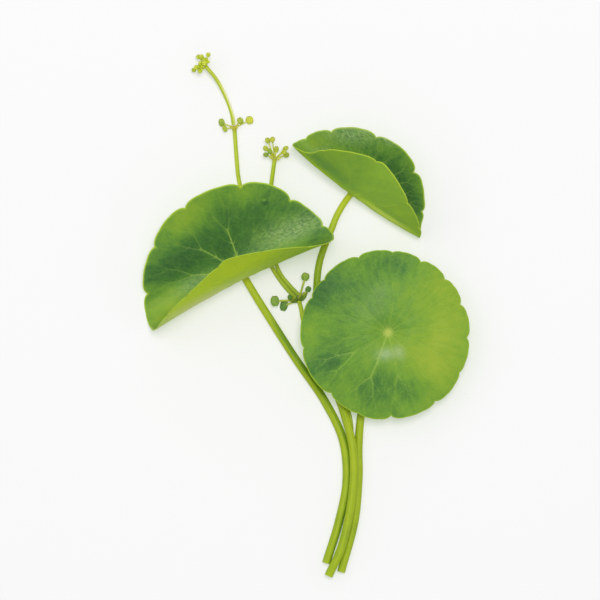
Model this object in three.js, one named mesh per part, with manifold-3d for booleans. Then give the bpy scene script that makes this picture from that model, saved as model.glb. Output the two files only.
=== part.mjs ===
// A sprig of pennywort laid down on a flat surface: three round leaves on long stalks, two of them
// folded along the middle, and a branched flower stalk with flat fruits and a head of small flowers.
// Millimetres. The surface is z = 0, +Y runs from the cut ends to the flowers, +X to the right.
import * as THREE from "three";
import { mergeVertices } from "three/addons/utils/BufferGeometryUtils.js";
import Module from "manifold-3d";

const wasm = await Module();
wasm.setup();

// Sizes shared by all pieces
const BLADE_THICKNESS = 0.5;
const RIM_THICKNESS = 0.34;
const GROWTH_GAP = 0.15;
const BUD_GAP = 0.05;
const STALK_SIDES = 10;
const RAY_SIDES = 8;
const STALK_STEP = 3.4;
const RAY_STEP = 3.6;

// Colours
const LEAF_GREEN = 0x5f9338;
const STALK_GREEN = 0xa0ba35;
const RAY_GREEN = 0xb4c344;
const FRUIT_GREEN = 0x7f9d3a;
const FLORET_GREEN = 0xc3cc5a;

// Leaves. A blade is drawn flat round its stalk joint, across the fold from the front edge (-) to
// the rear edge (+), and then bent. heading turns the fold line from +X, tilt lifts its far end.
// notches are [angle, depth] round the outline and dents are [angle, depth, half width] in its
// sweep; fold gives the slope of each half and the width and easing of the bend between them.
const LEFT_LEAF = {
  radius: 28.8,
  offset: [-0.2, -0.6],
  depth: { front: 0.98, rear: 0.945 },
  hub: [-17.7, 11.4],
  heading: 26.4,
  tilt: 5,
  fold: { front: -107, rear: 23, width: 17, relax: 19 },
  bow: 0,
  ruffle: { height: 0.55, waves: 5, phase: 0.6 },
  rings: [0, 0.16, 0.4, 0.66, 0.87, 1],
  notches: [
    [5, 1.0], [33, 1.3], [66, 1.4], [101, 1.3], [132, 0.9], [163, 1.2],
    [197, 0.8], [218, 1.0], [240, 1.0], [265, 1.4], [292, 1.0], [320, 0.8], [344, 0.6],
  ],
  dents: [[22, 2.1, 24], [134, 0.9, 24], [181, -0.8, 11]],
};
const RIGHT_LEAF = {
  radius: 21.6,
  offset: [1.1, -0.4],
  depth: { front: 1, rear: 0.91 },
  hub: [13.3, 33.9],
  heading: -36,
  tilt: -6,
  fold: { front: -126, rear: 27, width: 11, relax: 15 },
  bow: 1.3,
  ruffle: { height: 0.4, waves: 4, phase: 2.2 },
  rings: [0, 0.16, 0.4, 0.66, 0.87, 1],
  notches: [
    [23, 0.8], [63, 1.4], [105, 1.1], [144, 0.9], [168, 0.6],
    [196, 0.6], [222, 0.5], [263, 1.0], [303, 0.9], [332, 0.7],
  ],
  dents: [
    [12, 0.7, 8], [36, 1.7, 24], [85, -0.7, 14], [140, 0.9, 20], [184, -1.2, 9], [205, 2.2, 13],
  ],
};
const ROUND_LEAF = {
  radius: 23.6,
  offset: [-0.7, -0.7],
  depth: { front: 1, rear: 1 },
  hub: [23, -5.2],
  height: 8.8,
  heading: 0,
  tilt: -2,
  fold: { front: 0, rear: 0, width: 1, relax: 0 },
  bow: 0,
  dish: { dimple: 1.3, dimpleRadius: 0.15, droop: 2.6 },
  ruffle: { height: 0.55, waves: 5, phase: 2.0 },
  rings: [0, 0.13, 0.3, 0.55, 0.82, 1],
  notches: [
    [-2, 0.9], [22, 1.0], [43, 0.9], [64, 1.0], [85, 0.5], [109, 0.9], [138, 0.7], [153, 0.7],
    [189, 0.6], [227, 0.9], [251, 0.4], [274, 1.1], [307, 0.8], [333, 0.5],
  ],
  dents: [[232, 0.7, 16], [315, -0.4, 16]],
};

// Stalks, from the cut end up. plan is the route over the surface, heights are [fraction of the
// route, centre height], taper is the share of the radius left at the leaf.
const restingHeight = (radius, sides) => radius * Math.cos(Math.PI / sides);
const LEFT_RADIUS = 1.22;
const ROUND_RADIUS = 1.16;
const RIGHT_RADIUS = 1.2;
const FLOWER_RADIUS = 0.62;
const RAY_RADIUS = 0.57;
const LEFT_RESTING = restingHeight(LEFT_RADIUS, STALK_SIDES);
const ROUND_RESTING = restingHeight(ROUND_RADIUS, STALK_SIDES);
const RIGHT_RESTING = restingHeight(RIGHT_RADIUS, STALK_SIDES);
const FLOWER_RESTING = restingHeight(FLOWER_RADIUS, RAY_SIDES);
const RAY_RESTING = restingHeight(RAY_RADIUS, RAY_SIDES);
const ON_THE_OTHERS = 3.05;
const OVER_THE_FLOWER_STALK = 2.7;

const LEFT_STALK = {
  plan: [
    [5.95, -69.7], [9.6, -57.8], [11.65, -46.6], [10.65, -35.4], [5.35, -24.2],
    [-2.4, -13], [-9.6, -1.8], [-12, 2],
  ],
  heights: [[0, LEFT_RESTING], [1, LEFT_RESTING]],
  radius: LEFT_RADIUS,
  taper: 0.88,
};
const ROUND_STALK = {
  plan: [[10.1, -72.2], [13.9, -57.8], [15, -46], [15, -36.8], [16.1, -25.6], [18.4, -18]],
  heights: [[0, ROUND_RESTING], [1, ROUND_RESTING]],
  radius: ROUND_RADIUS,
  taper: 0.9,
};
const RIGHT_STALK = {
  plan: [
    [6.6, -73.2], [10.3, -64.8], [13.2, -50.5], [13.5, -38.8], [10.7, -27], [6.3, -15.8],
    [3.4, -4], [3.2, 5], [4.05, 14.3], [8.15, 25.5],
  ],
  heights: [
    [0, 2.3], [0.05, 2.8], [0.34, ON_THE_OTHERS], [0.46, OVER_THE_FLOWER_STALK],
    [0.57, OVER_THE_FLOWER_STALK], [0.71, RIGHT_RESTING], [1, RIGHT_RESTING],
  ],
  radius: RIGHT_RADIUS,
  taper: 0.76,
};

// The flower stalk swells into a node where it forks into two rays; each ray ends in a node too.
const FORK = { at: [-1.75, 3.75, 0.92], radius: 0.92 };
const WHORL = { at: [-19.75, 51.9, 0.74], radius: 0.74 };
const SHORT_TIP = { at: [-8.45, 43.1, 2.5], radius: 0.7 };
const LONG_TIP = { at: [-27.4, 68.6, 3.3], radius: 0.62 };
const FLOWER_STALK = {
  plan: [
    [13.25, -40.8], [13.1, -34], [12.3, -28], [9.9, -22.5], [6.4, -17.5],
    [2.6, -11], [0, -4], [-1.3, 2.2], [-1.75, 3.75],
  ],
  heights: [[0, FLOWER_RESTING], [1, FLOWER_RESTING]],
  radius: FLOWER_RADIUS,
  node: FORK,
};
const LONG_RAY_LOWER = {
  plan: [
    [-2.62, 4.4], [-5.05, 6.88], [-8.29, 11.26], [-13.5, 21.8], [-16.9, 31], [-18.6, 38],
    [-19.1, 43], [-19.75, 51.9],
  ],
  heights: [[0, RAY_RESTING], [1, RAY_RESTING]],
  radius: RAY_RADIUS,
  node: WHORL,
};
const LONG_RAY_UPPER = {
  plan: [[-19.95, 52.75], [-20.4, 55.6], [-22, 60.2], [-24.6, 65.2], [-27.4, 68.6]],
  heights: [[0, RAY_RESTING + 0.1], [0.25, RAY_RESTING], [1, LONG_TIP.at[2]]],
  radius: 0.52,
  node: LONG_TIP,
};
const SHORT_RAY = {
  plan: [
    [-1.75, 5.2], [-4.1, 7.57], [-7.4, 12.05], [-9.6, 20.6], [-10.35, 27.6], [-9.5, 35.4],
    [-8.45, 43.1],
  ],
  heights: [[0, RAY_RESTING], [0.75, RAY_RESTING], [1, SHORT_TIP.at[2]]],
  radius: RAY_RADIUS,
  node: SHORT_TIP,
};

// Fruits grow round a node on short stalks of their own: [centre, width, length, turn]. stalk is the
// radius of those stalks.
const FRUIT_THICKNESS = 0.52;
const FRUIT_WHORLS = [
  {
    name: "lower_fruit",
    node: FORK,
    stalk: 0.21,
    fruits: [
      [[-8.4, 3.5, 2.3], 2.4, 3.3, 5],
      [[-5.9, 2.2, 0.62], 2.2, 3.4, -12],
      [[-4.2, 4.6, 2.9], 1.3, 1.6, 40],
      [[0.1, 10.3, 2.4], 2.3, 2.5, -20],
      [[0.9, 6.8, 2.5], 1.6, 1.9, -30],
    ],
  },
  {
    name: "upper_fruit",
    node: WHORL,
    stalk: 0.18,
    fruits: [
      [[-23.3, 53.4, 1.1], 1.7, 2.5, 12],
      [[-22.4, 51.7, 2.1], 1.3, 2.3, 20],
      [[-18.1, 53.9, 1.7], 1.7, 2.1, 30],
      [[-15.5, 54.1, 0.9], 2.1, 2.5, 15],
    ],
  },
  {
    name: "head_fruit",
    node: SHORT_TIP,
    stalk: 0.18,
    fruits: [
      [[-10.4, 48.3, 3], 1.5, 1.8, 25],
      [[-9.1, 48.4, 5.4], 1.5, 1.8, -25],
      [[-11, 46.2, 1.2], 1.4, 1.7, 50],
      [[-10.9, 44.3, 3.4], 1.3, 1.7, 80],
      [[-9.8, 45.2, 5.1], 1.4, 1.7, 20],
      [[-8.0, 45.9, 1.8], 1.4, 2.0, -5],
      [[-5.4, 46.1, 3.2], 1.3, 1.8, -60],
      [[-5.2, 44.3, 1.9], 1.5, 1.8, -75],
      [[-5.9, 45.0, 4.9], 1.4, 1.7, -20],
    ],
  },
];

// Flower head: small florets on short stalks, spread evenly in a cone about the end of the long ray
const FLORET_COUNT = 12;
const FLORET_RADIUS = 0.67;
const FLORET_STALK_RADIUS = 0.14;
const FLORET_REACH = [2.35, 3.9];
const HEAD_CONE = 62;
const HEAD_AXIS = new THREE.Vector3(-0.82, 0.54, 0.2).normalize();
const GOLDEN_ANGLE = Math.PI * (3 - Math.sqrt(5));

const radians = THREE.MathUtils.degToRad;
const smooth = (v) => v * v * (3 - 2 * v);

// Solids
function solid(geometry) {
  const bare = geometry.clone();
  bare.deleteAttribute("normal");
  bare.deleteAttribute("uv");
  const merged = mergeVertices(bare, 1e-4);
  const vertProperties = merged.attributes.position.array;
  return new wasm.Manifold(new wasm.Mesh({ numProp: 3, vertProperties, triVerts: merged.index.array }));
}

function union(first, second) {
  const mesh = solid(first).add(solid(second)).getMesh();
  const geometry = new THREE.BufferGeometry();
  geometry.setAttribute("position", new THREE.Float32BufferAttribute(mesh.vertProperties, 3));
  geometry.setIndex([...mesh.triVerts]);
  return geometry;
}

// Leaf blades
const NOTCH_HALF_WIDTH = 3;
const angleBetween = (a, b) => Math.abs(((a - b + 540) % 360) - 180);

function outlineRadius(leaf, angle) {
  let radius = leaf.radius;
  for (const [at, depth] of leaf.notches) {
    radius -= depth * Math.exp(-angleBetween(angle, at) / NOTCH_HALF_WIDTH);
  }
  for (const [at, depth, width] of leaf.dents) {
    radius -= depth * Math.exp(-((angleBetween(angle, at) / width) ** 2));
  }
  return radius;
}

// Angles to sample round the outline: every notch, and four places on the lobe after it
function outlineAngles(leaf) {
  const places = [0, 0.1, 0.35, 0.65, 0.9];
  return leaf.notches.flatMap(([start], i) => {
    const next = i + 1 < leaf.notches.length ? leaf.notches[i + 1][0] : leaf.notches[0][0] + 360;
    return places.map((place) => start + place * (next - start));
  });
}

function relief(leaf, angle, ring) {
  const { ruffle, dish } = leaf;
  const waves = ruffle.height * ring ** 3 * Math.sin(ruffle.waves * radians(angle) + ruffle.phase);
  if (!dish) return waves;
  const dimple = dish.dimple * (1 - Math.exp(-((ring / dish.dimpleRadius) ** 2)));
  return waves + dimple - dish.droop * ring ** 2;
}

// The point of the blade's middle surface at (along, across) on the flat leaf, and its normal
function bent(leaf, along, across) {
  const { front, rear, width, relax } = leaf.fold;
  const reach = Math.min(1, Math.abs(along) / leaf.radius);
  const frontSlope = front + relax * reach;
  const slopeAt = (t) => {
    const share = THREE.MathUtils.clamp(t / width + 0.5, 0, 1);
    return radians(frontSlope + (rear - frontSlope) * smooth(share));
  };
  const steps = 24;
  const step = across / steps;
  const point = new THREE.Vector3(along, leaf.bow * reach ** 2, 0);
  for (let i = 0; i < steps; i++) {
    const slope = slopeAt((i + 0.5) * step);
    point.y += Math.cos(slope) * step;
    point.z += Math.sin(slope) * step;
  }
  const slope = slopeAt(across);
  return { point, normal: new THREE.Vector3(0, -Math.sin(slope), Math.cos(slope)) };
}

function leafTurn(leaf) {
  const lift = new THREE.Matrix4().makeRotationY(-radians(leaf.tilt));
  return new THREE.Matrix4().makeRotationZ(radians(leaf.heading)).multiply(lift);
}

// side is +1 for the upper face, -1 for the underside
function bladePoint(leaf, angle, ring, side) {
  const radius = outlineRadius(leaf, angle);
  const along = ring * (radius * Math.cos(radians(angle)) + leaf.offset[0]);
  const depth = Math.sin(radians(angle)) < 0 ? leaf.depth.front : leaf.depth.rear;
  const across = ring * (depth * radius * Math.sin(radians(angle)) + leaf.offset[1]);
  const { point, normal } = bent(leaf, along, across);
  const thickness = THREE.MathUtils.lerp(BLADE_THICKNESS, RIM_THICKNESS, ring);
  point.addScaledVector(normal, relief(leaf, angle, ring) + (side * thickness) / 2);
  return point.applyMatrix4(leafTurn(leaf));
}

function bladeGeometry(leaf) {
  const angles = outlineAngles(leaf);
  const count = angles.length;
  const points = [];
  for (const side of [1, -1]) {
    points.push(bladePoint(leaf, 0, 0, side));
    for (const ring of leaf.rings.slice(1)) {
      for (const angle of angles) points.push(bladePoint(leaf, angle, ring, side));
    }
  }
  const rings = leaf.rings.length - 1;
  const at = (face, ring, i) => {
    const centre = face * (1 + rings * count);
    return ring === 0 ? centre : centre + 1 + (ring - 1) * count + (i % count);
  };
  const index = [];
  for (let i = 0; i < count; i++) {
    index.push(at(0, 0, 0), at(0, 1, i), at(0, 1, i + 1));
    index.push(at(1, 0, 0), at(1, 1, i + 1), at(1, 1, i));
    for (let ring = 1; ring < rings; ring++) {
      index.push(at(0, ring, i), at(0, ring + 1, i), at(0, ring + 1, i + 1));
      index.push(at(0, ring, i), at(0, ring + 1, i + 1), at(0, ring, i + 1));
      index.push(at(1, ring, i), at(1, ring + 1, i + 1), at(1, ring + 1, i));
      index.push(at(1, ring, i), at(1, ring, i + 1), at(1, ring + 1, i + 1));
    }
    index.push(at(0, rings, i), at(1, rings, i), at(1, rings, i + 1));
    index.push(at(0, rings, i), at(1, rings, i + 1), at(0, rings, i + 1));
  }
  const geometry = new THREE.BufferGeometry().setFromPoints(points);
  geometry.setIndex(index);
  return geometry;
}

// Sets the blade on its spot: at its own height, or else lowered until it touches the surface
function placeBlade(leaf, geometry) {
  geometry.computeBoundingBox();
  const height = leaf.height ?? -geometry.boundingBox.min.z;
  leaf.place = new THREE.Vector3(leaf.hub[0], leaf.hub[1], height);
  geometry.translate(...leaf.place);
  return geometry;
}

// Where the stalk meets the underside of a placed blade, and the way out of the blade there
function stalkJoint(leaf) {
  const under = bladePoint(leaf, 0, 0, -1);
  const away = under.clone().sub(bladePoint(leaf, 0, 0, 1)).normalize();
  const point = under.add(leaf.place).addScaledVector(away, GROWTH_GAP);
  return { point, away };
}

// Stalks
class LyingRoute extends THREE.Curve {
  constructor({ plan, heights }) {
    super();
    const points = plan.map(([x, y]) => new THREE.Vector3(x, y, 0));
    this.plan = new THREE.CatmullRomCurve3(points, false, "centripetal");
    this.heights = heights;
  }

  getPoint(fraction, target = new THREE.Vector3()) {
    const last = this.heights.length - 2;
    const i = Math.min(this.heights.findLastIndex(([start]) => start <= fraction), last);
    const [start, low] = this.heights[i];
    const [end, high] = this.heights[i + 1];
    const height = THREE.MathUtils.lerp(low, high, smooth((fraction - start) / (end - start)));
    return this.plan.getPointAt(fraction, target).setZ(height);
  }
}

// A leaf's stalk leaves the surface at the end of its plan and bends up to the joint under the blade
function leafStalkRoute(stalk, leaf) {
  const lying = new LyingRoute(stalk);
  const joint = stalkJoint(leaf);
  const liftOff = lying.getPoint(1);
  const reach = liftOff.distanceTo(joint.point) * 0.4;
  const onward = liftOff.clone().addScaledVector(lying.getTangent(1), reach);
  const rise = (liftOff.z - joint.point.z) / joint.away.z;
  const below = joint.point.clone().addScaledVector(joint.away, Math.min(reach, rise));
  const route = new THREE.CurvePath();
  route.add(lying);
  route.add(new THREE.CubicBezierCurve3(liftOff, onward, below, joint.point));
  return route;
}

function tube(route, radius, sides, step) {
  const corners = Array.from({ length: sides }, (_, i) => {
    const turn = ((i + 0.5) / sides) * 2 * Math.PI;
    return new THREE.Vector2(radius * Math.cos(turn), radius * Math.sin(turn));
  });
  const steps = Math.max(2, Math.round(route.getLength() / step));
  return new THREE.ExtrudeGeometry(new THREE.Shape(corners), { steps, extrudePath: route });
}

// Draws the upper part of a tube in towards its route, down to the share taper at the end
const TAPER_START = 0.4;

function tapered(geometry, route, taper) {
  const steps = Math.round(route.getLength() / STALK_STEP);
  const centres = route.getSpacedPoints(steps);
  const position = geometry.attributes.position;
  const point = new THREE.Vector3();
  for (let i = 0; i < position.count; i++) {
    point.fromBufferAttribute(position, i);
    const distances = centres.map((centre) => centre.distanceToSquared(point));
    const nearest = distances.indexOf(Math.min(...distances));
    const share = THREE.MathUtils.clamp((nearest / steps - TAPER_START) / (1 - TAPER_START), 0, 1);
    point.sub(centres[nearest]).multiplyScalar(THREE.MathUtils.lerp(1, taper, smooth(share)));
    point.add(centres[nearest]);
    position.setXYZ(i, point.x, point.y, point.z);
  }
  return geometry;
}

function leafStalkGeometry(stalk, leaf) {
  const route = leafStalkRoute(stalk, leaf);
  return tapered(tube(route, stalk.radius, STALK_SIDES, STALK_STEP), route, stalk.taper);
}

function rayGeometry(ray) {
  const knob = new THREE.SphereGeometry(ray.node.radius, 8, 6).translate(...ray.node.at);
  return union(tube(new LyingRoute(ray), ray.radius, RAY_SIDES, RAY_STEP), knob);
}

// Fruits and florets
function fruitBody(width, length) {
  const body = new THREE.SphereGeometry(1, 8, 6);
  const position = body.attributes.position;
  for (let i = 0; i < position.count; i++) {
    const across = position.getX(i);
    const along = position.getY(i);
    const cleft = Math.exp(-((across / 0.4) ** 2));
    const x = (across * width) / 2;
    const y = (along * (1 - 0.14 * cleft) * length) / 2;
    const z = position.getZ(i) * FRUIT_THICKNESS * (1 - 0.3 * cleft * (1 - along ** 2));
    position.setXYZ(i, x, y, z);
  }
  return body;
}

// A thin stalk from the skin of a node to the middle of a fruit or floret, arched a little upwards
function pedicel(node, centre, radius, sides, steps) {
  const root = new THREE.Vector3(...node.at);
  const direction = centre.clone().sub(root).normalize();
  const from = root.addScaledVector(direction, node.radius + BUD_GAP);
  const middle = from.clone().lerp(centre, 0.5);
  middle.z += 0.1 * from.distanceTo(centre);
  const route = new THREE.QuadraticBezierCurve3(from, middle, centre);
  return tube(route, radius, sides, route.getLength() / steps);
}

function fruitGeometry({ node, stalk }, [middle, width, length, turn]) {
  const centre = new THREE.Vector3(...middle);
  const body = fruitBody(width, length).rotateZ(radians(turn)).translate(...middle);
  return union(body, pedicel(node, centre, stalk, 5, 3));
}

function floretGeometry(i) {
  const share = (i + 1) / FLORET_COUNT;
  const lean = radians(HEAD_CONE) * Math.sqrt(share);
  const toAxis = new THREE.Quaternion().setFromUnitVectors(new THREE.Vector3(0, 1, 0), HEAD_AXIS);
  const direction = new THREE.Vector3().setFromSphericalCoords(1, lean, i * GOLDEN_ANGLE);
  direction.applyQuaternion(toAxis).multiplyScalar(FLORET_REACH[i % 2]);
  const centre = new THREE.Vector3(...LONG_TIP.at).add(direction);
  const bud = new THREE.OctahedronGeometry(FLORET_RADIUS, 1).translate(...centre);
  return union(bud, pedicel(LONG_TIP, centre, FLORET_STALK_RADIUS, 4, 2));
}

// The whole sprig
const sprig = new THREE.Group();

function add(name, geometry, color, roughness = 0.55) {
  const material = new THREE.MeshStandardMaterial({ color, roughness, metalness: 0 });
  const mesh = new THREE.Mesh(geometry, material);
  mesh.name = name;
  sprig.add(mesh);
}

for (const [name, leaf] of [
  ["left_leaf", LEFT_LEAF],
  ["right_leaf", RIGHT_LEAF],
  ["round_leaf", ROUND_LEAF],
]) {
  add(name, placeBlade(leaf, bladeGeometry(leaf)), LEAF_GREEN, 0.45);
}

for (const [name, stalk, leaf] of [
  ["left_leaf_stalk", LEFT_STALK, LEFT_LEAF],
  ["right_leaf_stalk", RIGHT_STALK, RIGHT_LEAF],
  ["round_leaf_stalk", ROUND_STALK, ROUND_LEAF],
]) {
  add(name, leafStalkGeometry(stalk, leaf), STALK_GREEN);
}

for (const [name, ray] of [
  ["flower_stalk", FLOWER_STALK],
  ["long_ray_lower", LONG_RAY_LOWER],
  ["long_ray_upper", LONG_RAY_UPPER],
  ["short_ray", SHORT_RAY],
]) {
  add(name, rayGeometry(ray), RAY_GREEN);
}

for (const whorl of FRUIT_WHORLS) {
  whorl.fruits.forEach((fruit, i) => {
    add(`${whorl.name}_${i + 1}`, fruitGeometry(whorl, fruit), FRUIT_GREEN);
  });
}

for (let i = 0; i < FLORET_COUNT; i++) {
  add(`floret_${i + 1}`, floretGeometry(i), FLORET_GREEN, 0.6);
}

export default sprig;
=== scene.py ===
"""A sprig of pennywort lying on a pale table, seen from straight above."""

import math
import random

import bpy
import numpy as np
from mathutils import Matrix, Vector
from mathutils.geometry import delaunay_2d_cdt


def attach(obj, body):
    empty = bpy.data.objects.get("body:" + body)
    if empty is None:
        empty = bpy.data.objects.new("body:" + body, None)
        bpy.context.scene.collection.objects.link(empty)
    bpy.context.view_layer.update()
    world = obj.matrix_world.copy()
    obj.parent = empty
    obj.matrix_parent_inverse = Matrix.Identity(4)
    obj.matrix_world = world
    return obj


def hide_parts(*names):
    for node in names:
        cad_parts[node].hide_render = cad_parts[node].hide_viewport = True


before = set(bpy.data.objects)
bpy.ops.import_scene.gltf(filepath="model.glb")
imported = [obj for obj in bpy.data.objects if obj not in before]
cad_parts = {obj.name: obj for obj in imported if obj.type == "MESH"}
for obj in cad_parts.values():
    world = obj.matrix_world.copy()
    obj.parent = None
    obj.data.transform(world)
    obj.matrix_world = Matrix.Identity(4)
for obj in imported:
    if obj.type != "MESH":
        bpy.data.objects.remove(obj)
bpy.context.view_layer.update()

MM = 0.001
UP = (0.0, 0.0, 1.0)
rng = random.Random(7)

# Leaves, in millimetres and degrees, as on the solids: drawn flat round the hub, then bent.
# A vein has its angle, how clear it is up to its fork, and how clear beyond it. A patch on a face has
# its centre, half length, half width, turn, and amount of painted light, or of painted shade below 0;
# the patches also give the leaf's own mottling.
# A sheen patch is laid the same way: painted sheen, pale glossy speckles on the upper face, and a painted
# light band along the edge of the under face.
LEFT_LEAF = dict(
    name="left_leaf",
    wrinkles=1.0,
    rim_light=0.85,
    radius=28.8,
    offset=(-0.2, -0.6),
    depth=(0.98, 0.945),
    hub=(-17.7, 11.4),
    height=0,
    heading=26.4,
    tilt=5,
    fold=dict(front=-107, rear=23, width=17, relax=19),
    bow=0,
    dish=dict(dimple=0, dimple_radius=1, droop=0),
    ruffle=(0.55, 5, 0.6),
    notches=[
        (5, 1.0), (33, 1.3), (66, 1.4), (101, 1.3), (132, 0.9), (163, 1.2),
        (197, 0.8), (218, 1.0), (240, 1.0), (265, 1.4), (292, 1.0), (320, 0.8), (344, 0.6),
    ],
    dents=[(22, 2.1, 24), (134, 0.9, 24), (181, -0.8, 11)],
    veins=[
        (20, 0.1, 0.1), (51, 0.15, 0.15), (83, 1.0, 0.45), (120, 1.0, 0.5), (151, 0.9, 0.5),
        (176, 0.3, 0.3), (207, 0.3, 0.3), (229, 0.3, 0.3), (252, 0.3, 0.3), (279, 0.3, 0.3),
        (306, 0.3, 0.3), (332, 0.3, 0.3), (356, 0.25, 0.25),
    ],
    patches=[
        (-36, 13.2, 13, 5, 12, -0.75),
        (-31, 20.8, 6.5, 3, 20, -0.36),
        (-20.5, 21, 11, 6.5, 105, -0.52),
        (-32, 27.5, 7.5, 4.5, 55, 0.38),
        (-38.8, 1.2, 7.5, 5, 55, 0.42),
        (-16, 33.5, 6, 2.6, 0, 0.22),
        (-6.5, 31, 7, 3.4, -25, -0.42),
        (1.5, 27.5, 5, 2, -35, -0.2),
        (-12.5, 27.5, 4.5, 5.5, 0, -0.35),
        (4.6, 21.8, 3.4, 2.4, 35, -0.35),
        # A small dark spot, with a painted highlight at its top
        (-10.9, 30.7, 0.7, 0.5, 0, -0.9),
        (-11.4, 31.5, 0.5, 0.3, 0, 1.1),
    ],
    under_patches=[(-33, 3.5, 10, 3.5, 35, 1.0), (-17, 14, 12, 4, 28, 0.9), (-2, 18, 8, 3, 20, 0.1)],
    under_bloom=[(-28.3, 3.0, 14, 1.5, 29, 1.25)],
    bloom=[(-4.5, 23.2, 9.5, 3.2, 23, 1.0), (-32, 8, 5, 1.8, 30, 0.5)],
)
RIGHT_LEAF = dict(
    name="right_leaf",
    wrinkles=1.0,
    rim_light=0.7,
    radius=21.6,
    offset=(1.1, -0.4),
    depth=(1, 0.91),
    hub=(13.3, 33.9),
    height=0,
    heading=-36,
    tilt=-6,
    fold=dict(front=-126, rear=27, width=11, relax=15),
    bow=1.3,
    dish=dict(dimple=0, dimple_radius=1, droop=0),
    ruffle=(0.4, 4, 2.2),
    notches=[
        (23, 0.8), (63, 1.4), (105, 1.1), (144, 0.9), (168, 0.6),
        (196, 0.6), (222, 0.5), (263, 1.0), (303, 0.9), (332, 0.7),
    ],
    dents=[(12, 0.7, 8), (36, 1.7, 24), (85, -0.7, 14), (140, 0.9, 20), (184, -1.2, 9), (205, 2.2, 13)],
    veins=[
        (8, 0.7, 0.7), (34, 0.8, 0.8), (61, 0.8, 0.8), (92, 0.6, 0.6), (122, 0.3, 0.3),
        (155, 0.25, 0.25), (182, 0.2, 0.2), (209, 0.25, 0.25), (243, 0.25, 0.25),
        (284, 0.25, 0.25), (317, 0.25, 0.25), (346, 0.3, 0.3),
    ],
    patches=[
        (2.9, 47.8, 4, 2.5, 20, 0.3),
        (26.6, 37.2, 9, 3, -60, -0.5),
        (30, 31, 3.5, 2.5, -70, -0.35),
        (16, 46, 6, 2, -20, -0.1),
        (21, 42.3, 5, 1.8, -42, -0.35),
    ],
    under_patches=[
        (14, 38, 18, 10, -36, -0.35),
        (6.7, 40.2, 9, 1.3, -38, -0.6),
        (23.9, 26.9, 6.5, 0.9, -33, -0.6),
        (22.6, 27.1, 10, 0.75, -33, 1.3),
        (4.6, 39.6, 8, 0.5, -39, 1.0),
    ],
    under_bloom=[(22.6, 27.0, 9, 0.45, -33, 0.5)],
    bloom=[(13, 49.8, 7.5, 2.6, -4, 0.85), (22.6, 48.5, 3, 1.2, -35, 0.7), (5, 45, 2, 2, 0, 0.6)],
)
ROUND_LEAF = dict(
    name="round_leaf",
    wrinkles=0.35,
    rim_light=0.6,
    radius=23.6,
    offset=(-0.7, -0.7),
    depth=(1, 1),
    hub=(23, -5.2),
    height=8.8,
    heading=0,
    tilt=-2,
    fold=dict(front=0, rear=0, width=1, relax=0),
    bow=0,
    dish=dict(dimple=1.3, dimple_radius=0.15, droop=2.6),
    ruffle=(0.55, 5, 2.0),
    notches=[
        (-2, 0.9), (22, 1.0), (43, 0.9), (64, 1.0), (85, 0.5), (109, 0.9), (138, 0.7), (153, 0.7),
        (189, 0.6), (227, 0.9), (251, 0.4), (274, 1.1), (307, 0.8), (333, 0.5),
    ],
    dents=[(232, 0.7, 16), (315, -0.4, 16)],
    veins=[
        (9, 0.12, 0.08), (33, 0.15, 0.1), (55, 0.1, 0.08), (79, 0.15, 0.12), (104, 0.12, 0.1),
        (131, 0.15, 0.12), (158, 0.12, 0.15), (184, 0.12, 0.25), (211, 0.2, 0.85),
        (249, 0.8, 0.75), (285, 0.3, 0.5), (318, 0.15, 0.2), (344, 0.1, 0.1),
    ],
    patches=[
        (5.0, 7, 6.5, 4, 48, -0.55),
        (13.4, 2, 11, 9, 0, -0.3),
        (24.5, 13.2, 9, 4.5, 0, -0.35),
        (35, 8, 6, 7, 40, 0.3),
        (41, -4.6, 15, 7.5, 80, 0.42),
        (36, -9, 9, 6, 70, 0.14),
        (33.3, -13.4, 9, 4, -30, 0.35),
        (5.6, -13.4, 5.5, 4.2, 30, -0.62),
        (23, -5, 40, 40, 0, 0.08),
        (20.5, -20.6, 8.4, 4.8, -6, -0.4),
        (28.5, -22.4, 4.6, 3.4, 30, -0.16),
    ],
    under_patches=[],
    under_bloom=[],
    bloom=[
        (22.4, -11.2, 2.5, 1.6, 10, 1.2), (26.2, -10.8, 1.3, 1.9, 20, 0.9),
        (18, 1, 4.5, 3.2, 20, 0.15), (21, 6, 3, 2.5, 0, 0.2),
    ],
)

# Stalks: routes over the table and heights along them, as on the solids. A leaf stalk has painted shade on
# its right side, or on its left one below 0, and is greener round a place: its y, half length and amount.
STALK_SIDES = 10
RAY_SIDES = 8


def resting(radius, sides):
    """The height of a stalk's middle line where the solid's flat side lies on the table."""
    return radius * math.cos(math.pi / sides)


LEFT_RADIUS, ROUND_RADIUS, RIGHT_RADIUS = 1.22, 1.16, 1.2
FLOWER_RADIUS, RAY_RADIUS = 0.62, 0.57
LEFT_RESTING = resting(LEFT_RADIUS, STALK_SIDES)
ROUND_RESTING = resting(ROUND_RADIUS, STALK_SIDES)
RIGHT_RESTING = resting(RIGHT_RADIUS, STALK_SIDES)
FLOWER_RESTING = resting(FLOWER_RADIUS, RAY_SIDES)
RAY_RESTING = resting(RAY_RADIUS, RAY_SIDES)

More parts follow.
